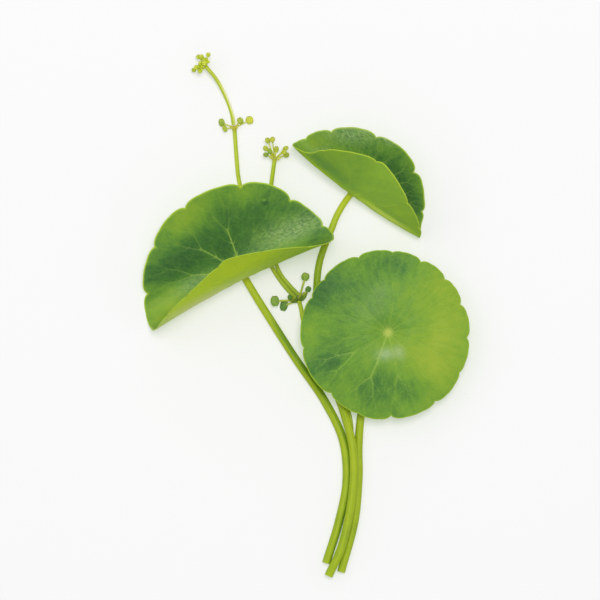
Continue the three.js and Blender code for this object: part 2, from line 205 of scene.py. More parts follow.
LEFT_STALK = dict(
    plan=[
        (5.95, -69.7), (9.6, -57.8), (11.65, -46.6), (10.65, -35.4), (5.35, -24.2),
        (-2.4, -13), (-9.6, -1.8), (-12, 2),
    ],
    heights=[(0, LEFT_RESTING), (1, LEFT_RESTING)],
    radius=LEFT_RADIUS,
    taper=0.88,
    right_side_dark=1.15,
    greener=(0, 1, 0),
)
ROUND_STALK = dict(
    plan=[(10.1, -72.2), (13.9, -57.8), (15, -46), (15, -36.8), (16.1, -25.6), (18.4, -18)],
    heights=[(0, ROUND_RESTING), (1, ROUND_RESTING)],
    radius=ROUND_RADIUS,
    taper=0.9,
    right_side_dark=-0.8,
    greener=(0, 1, 0),
)
RIGHT_STALK = dict(
    plan=[
        (6.6, -73.2), (10.3, -64.8), (13.2, -50.5), (13.5, -38.8), (10.7, -27), (6.3, -15.8),
        (3.4, -4), (3.2, 5), (4.05, 14.3), (8.15, 25.5),
    ],
    heights=[
        (0, 2.3), (0.05, 2.8), (0.34, 3.05), (0.46, 2.7), (0.57, 2.7),
        (0.71, RIGHT_RESTING), (1, RIGHT_RESTING),
    ],
    radius=RIGHT_RADIUS,
    taper=0.76,
    right_side_dark=-0.5,
    greener=(9, 8, 0.42),
)

# The flower stalk and its rays, each up to a node: the node's place and the radius it swells to. Then
# the bracts round that node, how leaf green they are, how green the stalk starts, how much painted
# highlight its middle has on its lit side, and how orange the node is. What a ray leaves out is as on the
# plain ray.
FORK = ((-1.75, 3.75, 0.92), 0.92)
WHORL = ((-19.75, 51.9, 0.74), 0.74)
SHORT_TIP = ((-8.45, 43.1, 2.5), 0.7)
LONG_TIP = ((-27.4, 68.6, 3.3), 0.62)
PLAIN_RAY = dict(
    radius=RAY_RADIUS,
    cut_start=False,
    bracts=0,
    bract_size=1.0,
    leafy=0.0,
    green_start=0.0,
    pale=0.0,
    blush=0.0,
)
FLOWER_STALK = dict(
    PLAIN_RAY,
    plan=[
        (13.25, -40.8), (13.1, -34), (12.3, -28), (9.9, -22.5), (6.4, -17.5),
        (2.6, -11), (0, -4), (-1.3, 2.2), (-1.75, 3.75),
    ],
    heights=[(0, FLOWER_RESTING), (1, FLOWER_RESTING)],
    radius=FLOWER_RADIUS,
    cut_start=True,
    node=FORK,
    bracts=9,
    bract_size=2.7,
    leafy=1.0,
)
LONG_RAY_LOWER = dict(
    PLAIN_RAY,
    plan=[
        (-2.62, 4.4), (-5.05, 6.88), (-8.29, 11.26), (-13.5, 21.8), (-16.9, 31), (-18.6, 38),
        (-19.1, 43), (-19.75, 51.9),
    ],
    heights=[(0, RAY_RESTING), (1, RAY_RESTING)],
    node=WHORL,
    bracts=4,
    bract_size=1.7,
    green_start=0.45,
    blush=1.0,
)
LONG_RAY_UPPER = dict(
    PLAIN_RAY,
    plan=[(-19.95, 52.75), (-20.4, 55.6), (-22, 60.2), (-24.6, 65.2), (-27.4, 68.6)],
    heights=[(0, RAY_RESTING + 0.1), (0.25, RAY_RESTING), (1, LONG_TIP[0][2])],
    radius=0.52,
    node=LONG_TIP,
    # A painted highlight on the lit side of its middle
    pale=2.5,
)
SHORT_RAY = dict(
    PLAIN_RAY,
    plan=[
        (-1.75, 5.2), (-4.1, 7.57), (-7.4, 12.05), (-9.6, 20.6), (-10.35, 27.6), (-9.5, 35.4),
        (-8.45, 43.1),
    ],
    heights=[(0, RAY_RESTING), (0.75, RAY_RESTING), (1, SHORT_TIP[0][2])],
    node=SHORT_TIP,
    bracts=8,
    bract_size=2.0,
    green_start=0.45,
    blush=0.5,
)

# Fruits round each node: centre, width, length, turn, and how ripe (below 0 dark green, 1 yellow)
LOWER_FRUITS = [
    ((-8.4, 3.5, 2.3), 2.4, 3.3, 5, 0.15),
    ((-5.9, 2.2, 0.62), 2.2, 3.4, -12, -0.25),
    ((-4.2, 4.6, 2.9), 1.3, 1.6, 40, -0.3),
    ((0.1, 10.3, 2.4), 2.3, 2.5, -20, 0.25),
    ((0.9, 6.8, 2.5), 1.6, 1.9, -30, -0.3),
]
UPPER_FRUITS = [
    ((-23.3, 53.4, 1.1), 1.7, 2.5, 12, 0.4),
    ((-22.4, 51.7, 2.1), 1.3, 2.3, 20, 0.65),
    ((-18.1, 53.9, 1.7), 1.7, 2.1, 30, 0.5),
    ((-15.5, 54.1, 0.9), 2.1, 2.5, 15, 0.95),
]
HEAD_FRUITS = [
    ((-10.4, 48.3, 3), 1.5, 1.8, 25, 0.75),
    ((-9.1, 48.4, 5.4), 1.5, 1.8, -25, 0.8),
    ((-11, 46.2, 1.2), 1.4, 1.7, 50, 0.7),
    ((-10.9, 44.3, 3.4), 1.3, 1.7, 80, 0.28),
    ((-9.8, 45.2, 5.1), 1.4, 1.7, 20, 0.35),
    ((-8.0, 45.9, 1.8), 1.4, 2.0, -5, 0.65),
    ((-5.4, 46.1, 3.2), 1.3, 1.8, -60, 0.75),
    ((-5.2, 44.3, 1.9), 1.5, 1.8, -75, 0.5),
    ((-5.9, 45.0, 4.9), 1.4, 1.7, -20, 0.82),
]

# Florets at the end of the long ray, in a cone round the head's axis
FLORET_COUNT = 12
FLORET_REACH = (2.35, 3.9)
HEAD_CONE = 62
HEAD_AXIS = Vector((-0.82, 0.54, 0.2)).normalized()
GOLDEN_ANGLE = math.pi * (3 - math.sqrt(5))


def smooth(share):
    """0 to 1 with a soft start and end."""
    return share * share * (3 - 2 * share)


def hump(distance, reach):
    """1 at distance 0, fading softly beyond reach."""
    return np.exp(-((distance / reach) ** 2))


def unit(vectors):
    return vectors / np.maximum(np.linalg.norm(vectors, axis=-1, keepdims=True), 1e-12)


# Materials


def srgb(red, green, blue):
    """A colour as seen on screen, 0 to 255, as the four linear numbers a socket takes."""
    out = []
    for part in (red, green, blue):
        v = part / 255
        out.append(v / 12.92 if v <= 0.04045 else ((v + 0.055) / 1.055) ** 2.4)
    return (*out, 1.0)


class Wire:
    """A node's output. Sums on it add Math nodes."""

    def __init__(self, finish, socket):
        self.finish = finish
        self.socket = socket

    def math(self, operation, *values):
        return self.finish.node("ShaderNodeMath", {"operation": operation}, dict(enumerate(values)))

    def __add__(self, other):
        return self.math("ADD", self, other)

    __radd__ = __add__

    def __sub__(self, other):
        return self.math("SUBTRACT", self, other)

    def __rsub__(self, other):
        return self.math("SUBTRACT", other, self)

    def __mul__(self, other):
        return self.math("MULTIPLY", self, other)

    __rmul__ = __mul__

    def held(self):
        """The same amount, kept between 0 and 1."""
        return self.finish.node("ShaderNodeClamp", {}, {"Value": self, "Min": 0.0, "Max": 1.0})

    def step(self, low, high):
        """0 up to low, 1 from high, and smooth between them."""
        settings = {"interpolation_type": "SMOOTHSTEP"}
        sockets = {"Value": self, "From Min": low, "From Max": high}
        return self.finish.node("ShaderNodeMapRange", settings, sockets)


class Finish:
    """One material, built node by node."""

    def __init__(self, name):
        self.material = bpy.data.materials.new(name)
        self.material.use_nodes = True
        self.tree = self.material.node_tree
        self.tree.nodes.clear()

    def node(self, kind, settings, sockets, output=0):
        """A new node, as the wire from one of its outputs if it has any."""
        node = self.tree.nodes.new(kind)
        for name, value in settings.items():
            if name == "stops":
                elements = node.color_ramp.elements
                for place, colour in value[1:-1]:
                    elements.new(place)
                for element, (place, colour) in zip(elements, value):
                    element.position = place
                    element.color = colour
            else:
                setattr(node, name, value)
        for name, value in sockets.items():
            if isinstance(value, Wire):
                self.tree.links.new(value.socket, node.inputs[name])
            else:
                node.inputs[name].default_value = value
        return Wire(self, node.outputs[output]) if node.outputs else None

    def attribute(self, name, output="Fac"):
        return self.node("ShaderNodeAttribute", {"attribute_name": name}, {}, output)

    def noise(self, vector, size, detail, roughness, distortion=0.0):
        """Soft noise from about 0.3 to 0.7, with features of that size in millimetres."""
        sockets = {
            "Vector": vector, "Scale": 1 / size, "Detail": detail, "Roughness": roughness,
            "Distortion": distortion,
        }
        return self.node("ShaderNodeTexNoise", {}, sockets, "Fac")

    def cells(self, vector, size, feature):
        """Cells of that size, with the distance to their edge or, for F1, to their middle."""
        sockets = {"Vector": vector, "Scale": 1 / size}
        return self.node("ShaderNodeTexVoronoi", {"feature": feature}, sockets, "Distance")

    def stretched(self, vector, scale):
        return self.node("ShaderNodeVectorMath", {"operation": "MULTIPLY"}, {0: vector, 1: scale})

    def ramp(self, amount, stops):
        return self.node("ShaderNodeValToRGB", {"stops": stops}, {"Fac": amount}, "Color")

    def blend(self, amount, first, second):
        """first where amount is 0, second where it is 1."""
        return self.node("ShaderNodeMix", {"data_type": "RGBA"}, {0: amount, 6: first, 7: second}, 2)

    def bump(self, height, distance, strength):
        sockets = {"Height": height, "Distance": distance, "Strength": strength}
        return self.node("ShaderNodeBump", {}, sockets, "Normal")

    def surface(self, shader):
        self.node("ShaderNodeOutputMaterial", {}, {"Surface": shader})
        return self.material

    def plant_skin(self, sockets, glow, glow_share):
        """Plant tissue: a glossy skin over flesh that lets light of one colour, glow, through."""
        skin = self.node("ShaderNodeBsdfPrincipled", {}, sockets)
        glowing = {"Color": glow}
        if "Normal" in sockets:
            glowing["Normal"] = sockets["Normal"]
        through = self.node("ShaderNodeBsdfTranslucent", {}, glowing)
        return self.surface(self.node("ShaderNodeMixShader", {}, {0: glow_share, 1: skin, 2: through}))


LEAF_UPPER = [
    (0.0, srgb(54, 94, 52)), (0.25, srgb(76, 121, 58)), (0.5, srgb(116, 159, 61)),
    (0.75, srgb(148, 180, 63)), (1.0, srgb(176, 196, 72)),
]
LEAF_UNDER = [
    (0.0, srgb(112, 158, 64)), (0.4, srgb(150, 190, 62)), (0.75, srgb(190, 226, 48)),
    (1.0, srgb(224, 252, 48)),
]
LEAF_GLOW = srgb(158, 196, 50)
NET_GREEN = srgb(160, 190, 90)
VEIN_GREEN = srgb(166, 196, 90)
RIM_GREEN = srgb(188, 214, 62)
HUB_GREEN = srgb(206, 216, 104)
# Painted sheen on the upper face, and a painted light band on the under face
PAINTED_SHEEN_COLOUR = srgb(196, 214, 176)
UNDER_GLEAM = srgb(250, 255, 176)
LEAF_BUMP = 0.00011


def leaf_finish(name, gloss):
    """Leaf skin. Its tone goes from dark to light green: the face's painted light and shade patches,
    blotches, rays from the hub and a fine net of small veins. Over it lie the veins, the rim, the hub and
    the painted sheen."""
    f = Finish(name)
    flat = f.attribute("flat", "Vector")
    face = f.attribute("face").step(0.35, 0.65)
    shade = f.attribute("shade")
    vein = f.attribute("vein").step(0.15, 0.65) * f.attribute("clear")
    halo = f.attribute("halo")
    rim = f.attribute("rim").step(0.22, 0.65)
    hub = f.attribute("hub")
    bloom = f.attribute("bloom")
    wrinkles = f.attribute("wrinkles")
    rays = f.noise(f.attribute("radial", "Vector"), 0.6, 2, 0.55)

    blotches = f.noise(flat, 9, 3, 0.55)
    mottle = f.noise(flat, 2.4, 4, 0.6)
    grain = f.noise(flat, 0.5, 3, 0.6)
    crinkle = f.noise(f.stretched(flat, (0.7, 1.4, 1)), 0.8, 3, 0.6, 0.7)
    net = f.cells(flat, 1.5, "DISTANCE_TO_EDGE")
    net_line = 1 - net.step(0.0, 0.09)

    # The patches add painted light and shade, partly the leaf's own mottling, to the tone.
    tone = 0.5 + shade * 0.62 * (1 - halo * 0.35) + (blotches - 0.5) * 0.5 + (mottle - 0.5) * 0.3
    # Within the painted sheen, the crinkles paint light and dark glossy streaks.
    tone = tone + (grain - 0.5) * 0.16 + (crinkle - 0.5) * (0.1 + bloom * wrinkles * 1.5)
    tone = (tone + (rays - 0.5) * face * 0.3 + net_line * 0.03 + halo * 0.06).held()
    colour = f.blend(face, f.ramp(tone, LEAF_UNDER), f.ramp(tone, LEAF_UPPER))
    colour = f.blend(net_line * 0.07, colour, NET_GREEN)
    colour = f.blend((vein * (0.2 + face * 0.55)).held(), colour, VEIN_GREEN)
    colour = f.blend(rim * 0.9, colour, RIM_GREEN)
    colour = f.blend(hub * 0.85, colour, HUB_GREEN)
    # Painted sheen: pale glossy speckles on the upper face where the sheen patches lie.
    speckle = (crinkle - 0.42).step(0.0, 0.22)
    painted_sheen_spots = (bloom * (1 - (1 - speckle) * wrinkles * 0.6) * face).held()
    colour = f.blend(painted_sheen_spots * 0.42, colour, PAINTED_SHEEN_COLOUR)
    # Painted light: a pale band along the edge of the under face.
    colour = f.blend((bloom * (1 - face) * 0.7).held(), colour, UNDER_GLEAM)

    height = crinkle * 0.5 + grain * 0.12 + net.step(0.0, 0.25) * 0.5
    sockets = {
        "Base Color": colour,
        "Roughness": 0.8 - face * 0.36 + (mottle - 0.5) * 0.2 - painted_sheen_spots * 0.12,
        "Normal": f.bump(height * (0.35 + bloom * 0.65), LEAF_BUMP, 0.75),
        "Specular IOR Level": gloss,
    }
    return f.plant_skin(sockets, LEAF_GLOW, 0.14 + tone * 0.26)


# The colour of the painted highlight on a stalk's lit side
STALK_HIGHLIGHT = srgb(250, 250, 206)
STALK_LEAFY = srgb(84, 134, 46)
STALK_BLUSH = srgb(204, 140, 48)
STALK_BUMP = 0.00012
STALK_GLOSS = 0.22
STALK_GLOW_SHARE = 0.3
PITH_SIZE = 0.34


def stalk_finish(name, shaded, middle, lit, cut, cloud_size, painted_side_shade):
    """Stalk skin with fine lengthwise lines, painted shade along one side, a painted highlight where its
    paleness goes above 1, and paler cut ends.
    """
    f = Finish(name)
    skin = f.attribute("skin", "Vector")
    ends = f.attribute("cut")
    pale = f.attribute("pale")
    lines = f.noise(f.stretched(skin, (1, 1, 0.03)), 0.34, 2, 0.6)
    streaks = f.noise(f.stretched(skin, (1, 1, 0.12)), 0.9, 3, 0.5)
    clouds = f.noise(skin, cloud_size, 3, 0.55)
    tone = 0.5 + (lines - 0.5) * 0.55 + (streaks - 0.5) * 0.35 + (clouds - 0.5) * 0.7 + pale * 0.4
    # Painted shade along one side of the stalk.
    tone = tone - f.attribute("flank").step(0.35, 1.0) * painted_side_shade * (1 - pale).held()
    colour = f.ramp(tone.held(), [(0.0, shaded), (0.5, middle), (1.0, lit)])
    # Paleness above 1 is a painted highlight in pale cream.
    colour = f.blend((pale - 1).held() * 0.9, colour, STALK_HIGHLIGHT)
    colour = f.blend(f.attribute("leafy") * 0.85, colour, STALK_LEAFY)
    colour = f.blend(f.attribute("blush") * 0.7, colour, STALK_BLUSH)
    pith = f.cells(skin, PITH_SIZE, "F1")
    flesh = f.blend(pith.step(0.15, 0.6), cut, middle)
    sockets = {
        "Base Color": f.blend(ends, colour, flesh),
        "Roughness": 0.42 + (streaks - 0.5) * 0.2 + ends * 0.2,
        "Normal": f.bump(lines * 0.7 + streaks * 0.3, STALK_BUMP, 0.6),
        "Specular IOR Level": STALK_GLOSS,
    }
    return f.plant_skin(sockets, lit, STALK_GLOW_SHARE)


FRUIT_GREENS = [(0.0, srgb(76, 122, 46)), (0.45, srgb(132, 166, 52)), (1.0, srgb(216, 216, 56))]
FRUIT_GROOVE = srgb(96, 142, 44)
FRUIT_TIP = srgb(176, 96, 50)
FRUIT_GLOW = srgb(180, 205, 60)
FRUIT_BUMP = 0.00006
FRUIT_GLOW_SHARE = 0.2


def fruit_finish():
    """Fruit skin from dark green to yellow, darker in its grooves and brown at its top."""
    f = Finish("fruit skin")
    flat = f.attribute("flat", "Vector")
    speckles = f.noise(flat, 0.35, 3, 0.6)
    clouds = f.noise(flat, 1.1, 2, 0.5)
    tone = 0.3 + f.attribute("ripe") * 0.7 + (speckles - 0.5) * 0.5 + (clouds - 0.5) * 0.5
    colour = f.ramp(tone.held(), FRUIT_GREENS)
    colour = f.blend(f.attribute("groove") * 0.4, colour, FRUIT_GROOVE)
    sockets = {
        "Base Color": f.blend(f.attribute("tip"), colour, FRUIT_TIP),
        "Roughness": 0.42 + (speckles - 0.5) * 0.3,
        "Normal": f.bump(speckles, FRUIT_BUMP, 0.5),
    }
    return f.plant_skin(sockets, FRUIT_GLOW, FRUIT_GLOW_SHARE)


FLORET_YELLOWS = [(0.0, srgb(164, 192, 34)), (0.5, srgb(218, 228, 50)), (1.0, srgb(246, 248, 126))]
ANTHER = srgb(190, 176, 80)
FLORET_GLOW = srgb(214, 220, 90)
FLORET_GLOW_SHARE = 0.25


def floret_finish():
    """Floret tissue, green in the ovary to pale yellow in the petals, with brown anthers."""
    f = Finish("floret")
    clouds = f.noise(f.attribute("flat", "Vector"), 0.3, 2, 0.5)
    colour = f.ramp((f.attribute("ripe") + (clouds - 0.5) * 0.5).held(), FLORET_YELLOWS)
    sockets = {
        "Base Color": f.blend(f.attribute("tip"), colour, ANTHER),
        "Roughness": 0.5 + (clouds - 0.5) * 0.3,
    }
    return f.plant_skin(sockets, FLORET_GLOW, FLORET_GLOW_SHARE)


# Meshes


def placed(name, data):
    """A new object in the scene with that mesh, light or camera."""
    made = bpy.data.objects.new(name, data)
    bpy.context.scene.collection.objects.link(made)
    return made


class Shape:
    """Collects vertices, faces and surface values, and turns them into one piece."""

    def __init__(self):
        self.points = []
        self.faces = []
        self.values = {}
        self.count = 0

    def add(self, points, faces, **values):
        """values holds one number for all the points, or a number or vector for each."""
        points = np.asarray(points, float)
        self.points.append(points)
        self.faces += [[i + self.count for i in face] for face in faces]
        for name, value in values.items():
            value = np.asarray(value, float)
            size = (len(points), 3) if value.ndim > 1 else (len(points),)
            self.values.setdefault(name, []).append((self.count, np.broadcast_to(value, size)))
        self.count += len(points)

    def all_points(self):
        return np.concatenate(self.points)

    def value(self, name):
        """A surface value over all points so far, 0 where none was given."""
        runs = self.values.get(name, [])
        vectors = bool(runs) and runs[0][1].ndim > 1
        full = np.zeros((self.count, 3) if vectors else self.count)
        for start, run in runs:
            full[start:start + len(run)] = run
        return full

    def set_value(self, name, run):
        """Gives a surface value anew, from the first point on."""
        self.values[name] = [(0, run)]

    def piece(self, node, material, slot):
        """The piece that dresses the solid of that node."""
        name = node.replace("_", "-")
        points = self.all_points()
        points[:, 2] = np.maximum(points[:, 2], 0)
        mesh = bpy.data.meshes.new(name)
        mesh.from_pydata((points * MM).tolist(), [], self.faces)
        mesh.polygons.foreach_set("use_smooth", [True] * len(mesh.polygons))
        for key in self.values:
            full = self.value(key).astype(np.float32)
            vectors = full.ndim > 1
            attribute = mesh.attributes.new(key, "FLOAT_VECTOR" if vectors else "FLOAT", "POINT")
            attribute.data.foreach_set("vector" if vectors else "value", full.ravel())
        mesh.materials.append(material)
        mesh.update()
        piece = placed(name, mesh)
        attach(piece, "root")
        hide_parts(node)


def ring_faces(rings, sides):
    """Quads between rings of points that follow each other. Each ring closes on itself."""
    faces = []
    for i in range(rings - 1):
        for j in range(sides):
            k = (j + 1) % sides
            faces.append([i * sides + j, (i + 1) * sides + j, (i + 1) * sides + k, i * sides + k])
    return faces


def flipped(faces):
    return [face[::-1] for face in faces]


def length_along(line):
    """How far each point is from the start of the line."""
    return np.concatenate([[0], np.cumsum(np.linalg.norm(np.diff(line, axis=0), axis=1))])


def even(line, spacing):
    """The same line with points at even distances, about that far apart."""
    lengths = length_along(line)
    places = np.linspace(0, lengths[-1], max(3, int(lengths[-1] / spacing)))
    return np.stack([np.interp(places, lengths, line[:, k]) for k in range(line.shape[1])], axis=1)


TWIST_PER_MM = 0.012
CAP_RINGS = (1, 0.96, 0.8, 0.45, 0.0)
CUT_CAP_DIPS = (0, 0.02, -0.03, -0.07, -0.05)
GROWN_CAP_DIPS = (0, 0.0, 0.03, 0.05, 0.06)


def sweep(shape, centres, radii, sides, ridges=0.0, cut_start=False):
    """A round stalk along the centres, with faint ridges and closed ends, the first one cut or grown."""
    count = len(centres)
    tangent = unit(np.gradient(centres, axis=0))
    normal = np.zeros_like(centres)
    first = np.cross(tangent[0], UP)
    if np.linalg.norm(first) < 0.1:
        first = np.array((1.0, 0.0, 0.0))
    normal[0] = unit(first - tangent[0] * first.dot(tangent[0]))
    for i in range(1, count):
        normal[i] = unit(normal[i - 1] - tangent[i] * normal[i - 1].dot(tangent[i]))
    binormal = np.cross(tangent, normal)
    turns = np.linspace(0, 2 * math.pi, sides, endpoint=False)
    lengths = length_along(centres)
    phase = turns[None, :] + lengths[:, None] * TWIST_PER_MM
    wave = 1 + ridges * (np.cos(7 * phase) + 0.6 * np.cos(12 * phase + 1.3)) / 1.6
    across = (radii[:, None] * wave)[..., None]
    circle = normal[:, None] * np.cos(turns)[:, None] + binormal[:, None] * np.sin(turns)[:, None]
    rings = centres[:, None] + circle * across
    skin = np.stack([
        np.cos(phase) * radii[:, None], np.sin(phase) * radii[:, None],
        np.broadcast_to(lengths[:, None], phase.shape),
    ], axis=-1)
    flank = np.cos(phase).reshape(-1)
    faces = flipped(ring_faces(count, sides))
    shape.add(rings.reshape(-1, 3), faces, skin=skin.reshape(-1, 3), cut=0.0, flank=flank)
    for end, is_cut in ((0, cut_start), (count - 1, False)):
        outward = tangent[end] * (1 if end else -1)
        cap = []
        cap_skin = []
        for share, dip in zip(CAP_RINGS, CUT_CAP_DIPS if is_cut else GROWN_CAP_DIPS):
            depth = outward * dip * radii[end] * 2
            cap.append(centres[end] + (rings[end] - centres[end]) * share + depth)
            cap_skin.append(skin[end] * (share, share, 1))
        cap_faces = ring_faces(len(CAP_RINGS), sides)
        shape.add(
            np.concatenate(cap), flipped(cap_faces) if end else cap_faces,
            skin=np.concatenate(cap_skin), cut=1.0 if is_cut else 0.0, flank=0.0,
        )


def strand(shape, centres, radii, values, sides=10):
    """A thin round thread along the centres, closed at both ends."""
    thread = Shape()
    sweep(thread, np.asarray(centres, float), np.asarray(radii, float), sides)
    points = thread.all_points()
    shape.add(points, thread.faces, flat=points, **values)


def ball(shape, centre, radii, axis, values, rings=10, sides=14):
    """An egg-shaped body, radii[2] along its axis."""
    axis = unit(np.array(axis))
    side = unit(np.cross(axis, (0.31, 0.2, 0.93)))
    other = np.cross(axis, side)
    polar = np.linspace(0, math.pi, rings + 1)[:, None, None]
    turn = np.linspace(0, 2 * math.pi, sides, endpoint=False)[None, :, None]
    belt = side * np.cos(turn) * radii[0] + other * np.sin(turn) * radii[1]
    points = (centre + axis * np.cos(polar) * radii[2] + belt * np.sin(polar)).reshape(-1, 3)
    shape.add(points, ring_faces(rings + 1, sides), flat=points, **values)


SHEET_COLUMNS = 5


def thin_sheet(root, axes, length, rows, half_width, rise, cup, thickness):
    """A small closed sheet that grows from root along the first axis: its points, its faces, and how
    far out each point is. half_width and rise are functions of that share, cup lifts its sides, and
    thickness is half the sheet's, at the root and at the tip."""
    outward, side, up = axes
    points = []
    shares = []
    for face in (1, -1):
        for i in range(rows):
            t = i / (rows - 1)
            half = half_width(t)
            layer = face * (thickness[0] + (thickness[1] - thickness[0]) * t)
            for j in range(SHEET_COLUMNS):
                s = (j / (SHEET_COLUMNS - 1) - 0.5) * 2
                lift = rise(t) + cup * half * s * s + layer
                points.append(root + outward * length * t + side * half * s + up * lift)
                shares.append(t)
    size = rows * SHEET_COLUMNS
    grid = np.arange(size).reshape(rows, SHEET_COLUMNS)
    faces = []
    for a in grid[:-1, :-1].ravel().tolist():
        quad = [a, a + 1, a + SHEET_COLUMNS + 1, a + SHEET_COLUMNS]
        faces.append(quad)
        faces.append([v + size for v in quad[::-1]])
    border = np.concatenate([grid[0, :-1], grid[:-1, -1], grid[-1, :0:-1], grid[:0:-1, 0]]).tolist()
    for p, q in zip(border, border[1:] + border[:1]):
        faces.append([q, p, p + size, q + size])
    return np.array(points), faces, np.array(shares)


# Leaves

BLADE_THICKNESS = 0.5
RIM_THICKNESS = 0.34
RIM_WIDTH = 0.55
NOTCH_HALF_WIDTH = 3
NOTCH_GLOW = 0.6
NOTCH_GLOW_REACH = 0.9
SCALLOP_DEPTH = 0.1
SCALLOPS_PER_LOBE = 3
CREASE_EASE = 0.06
BEND_STEPS = 36
EDGE_TABLE_STEP = 0.25
RAY_CIRCLE = 11
RAY_STRETCH = 0.16


def turn_between(a, b):
    return np.abs((a - b + 540) % 360 - 180)


def patch_sum(patches, x, y):
    """All the patches of a face added up at each place."""
    total = np.zeros_like(x)
    for cx, cy, length, width, turn, amount in patches:
        c, s = math.cos(math.radians(turn)), math.sin(math.radians(turn))
        along = ((x - cx) * c + (y - cy) * s) / length
        across = ((y - cy) * c - (x - cx) * s) / width
        total += amount * np.exp(-(along ** 2 + across ** 2))
    return total


class Blade:
    """One leaf blade: where each place of the flat leaf lies once it is bent and laid down."""

    def __init__(self, leaf):
        for key, value in leaf.items():
            setattr(self, key, value)
        self.table_angle = np.arange(0, 360.01, EDGE_TABLE_STEP)
        edge = self.rim(self.table_angle)
        self.table_direction = np.unwrap(np.arctan2(edge[:, 1], edge[:, 0]))
        self.table_reach = np.hypot(*edge.T)
        self.lift = self.height
        if not self.lift:
            self.lift = -self.laid(edge, -1)[:, 2].min()

    def rim(self, angles):
        """The outline at those angles: lobes between notches, with shallow scallops on each lobe."""
        radius = np.full_like(angles, self.radius)
        for at, depth in self.notches:
            radius -= depth * np.exp(-turn_between(angles, at) / NOTCH_HALF_WIDTH)
        for at, depth, width in self.dents:
            radius -= depth * hump(turn_between(angles, at), width)
        starts = np.array([at for at, _ in self.notches] + [self.notches[0][0] + 360], float)
        turned = starts[0] + (angles - starts[0]) % 360
        lobe = np.clip(np.searchsorted(starts, turned, "right") - 1, 0, len(starts) - 2)
        place = (turned - starts[lobe]) / (starts[lobe + 1] - starts[lobe])
        radius -= SCALLOP_DEPTH * (1 - np.abs(np.sin(SCALLOPS_PER_LOBE * math.pi * place)) ** 0.6)
        a = np.radians(angles)
        depth = np.where(np.sin(a) < 0, self.depth[0], self.depth[1])
        across = depth * radius * np.sin(a) + self.offset[1]
        return np.stack([radius * np.cos(a) + self.offset[0], across], axis=1)

    def notch_points(self):
        return self.rim(np.array([at % 360.0 for at, _ in self.notches]))

    def polar(self, flat):
        """The angle on the outline and the share of the way out to it."""
        first = self.table_direction[0]
        direction = first + (np.arctan2(flat[:, 1], flat[:, 0]) - first) % (2 * math.pi)
        angle = np.interp(direction, self.table_direction, self.table_angle)
        reach = np.interp(direction, self.table_direction, self.table_reach)
        return angle, np.hypot(*flat.T) / reach

    def relief(self, angle, ring):
        """How far the blade stands out of its bent form: a ruffled rim, and a dished middle."""
        height, waves, phase = self.ruffle
        ruffle = height * ring ** 3 * np.sin(waves * np.radians(angle) + phase)
        dimple = self.dish["dimple"] * (1 - hump(ring, self.dish["dimple_radius"]))
        return ruffle + dimple - self.dish["droop"] * ring ** 2

    def bent(self, flat):
        """The fold across the middle: the place of each point, and the way up out of the blade."""
        along, across = flat.T
        fold = self.fold
        reach = np.minimum(1, np.abs(along) / self.radius)
        eased = np.sqrt(reach ** 2 + CREASE_EASE ** 2) - CREASE_EASE
        front = fold["front"] + fold["relax"] * eased / (math.sqrt(1 + CREASE_EASE ** 2) - CREASE_EASE)

        def slope(t):
            share = np.clip(t / fold["width"] + 0.5, 0, 1)
            return np.radians(front + (fold["rear"] - front) * smooth(share))

        step = across / BEND_STEPS
        y = self.bow * reach ** 2
        z = np.zeros_like(along)
        for i in range(BEND_STEPS):
            angle = slope((i + 0.5) * step)
            y = y + np.cos(angle) * step
            z = z + np.sin(angle) * step
        angle = slope(across)
        point = np.stack([along, y, z], axis=1)
        return point, np.stack([np.zeros_like(y), -np.sin(angle), np.cos(angle)], axis=1)

    def turned(self, vectors):
        tilt, heading = math.radians(self.tilt), math.radians(self.heading)
        x, y, z = vectors.T
        x, z = x * math.cos(tilt) - z * math.sin(tilt), x * math.sin(tilt) + z * math.cos(tilt)
        x, y = x * math.cos(heading) - y * math.sin(heading), x * math.sin(heading) + y * math.cos(heading)
        return np.stack([x, y, z], axis=1)

    def laid(self, flat, side, extra=0.0):
        """The place of the upper (+1) or under (-1) face, raised by extra along its normal."""
        angle, ring = self.polar(flat)
        ring = np.minimum(ring, 1)
        point, normal = self.bent(flat)
        thickness = BLADE_THICKNESS + (RIM_THICKNESS - BLADE_THICKNESS) * ring
        offset = self.relief(angle, ring) + side * thickness / 2 + extra
        return self.turned(point + normal * offset[:, None]) + (*self.hub, self.lift)

    def joint(self):
        """Where the stalk meets the underside, and the way out of the blade there."""
        middle = np.zeros((1, 2))
        under = self.laid(middle, -1)[0]
        return under, unit(under - self.laid(middle, 1)[0])


# Veins. Rings are shares of the way out to the rim, spreads are shares of the gap to the next vein
VEIN_START = 0.03
FORK_RING = (0.44, 0.56)
SECOND_FORK_RING = (0.72, 0.8)
VEIN_END_RING = (0.93, 0.97)
FORK_SPREAD = (0.17, 0.25)
TWIG_SPREADS = ((-1, 0.11), (1, 0.13))
SIDE_VEINS = ((0.2, 0.13), (0.33, 0.16), (0.62, 0.13))
SIDE_VEIN_SPREAD = (0.26, 0.36)
VEIN_STEP = 0.9


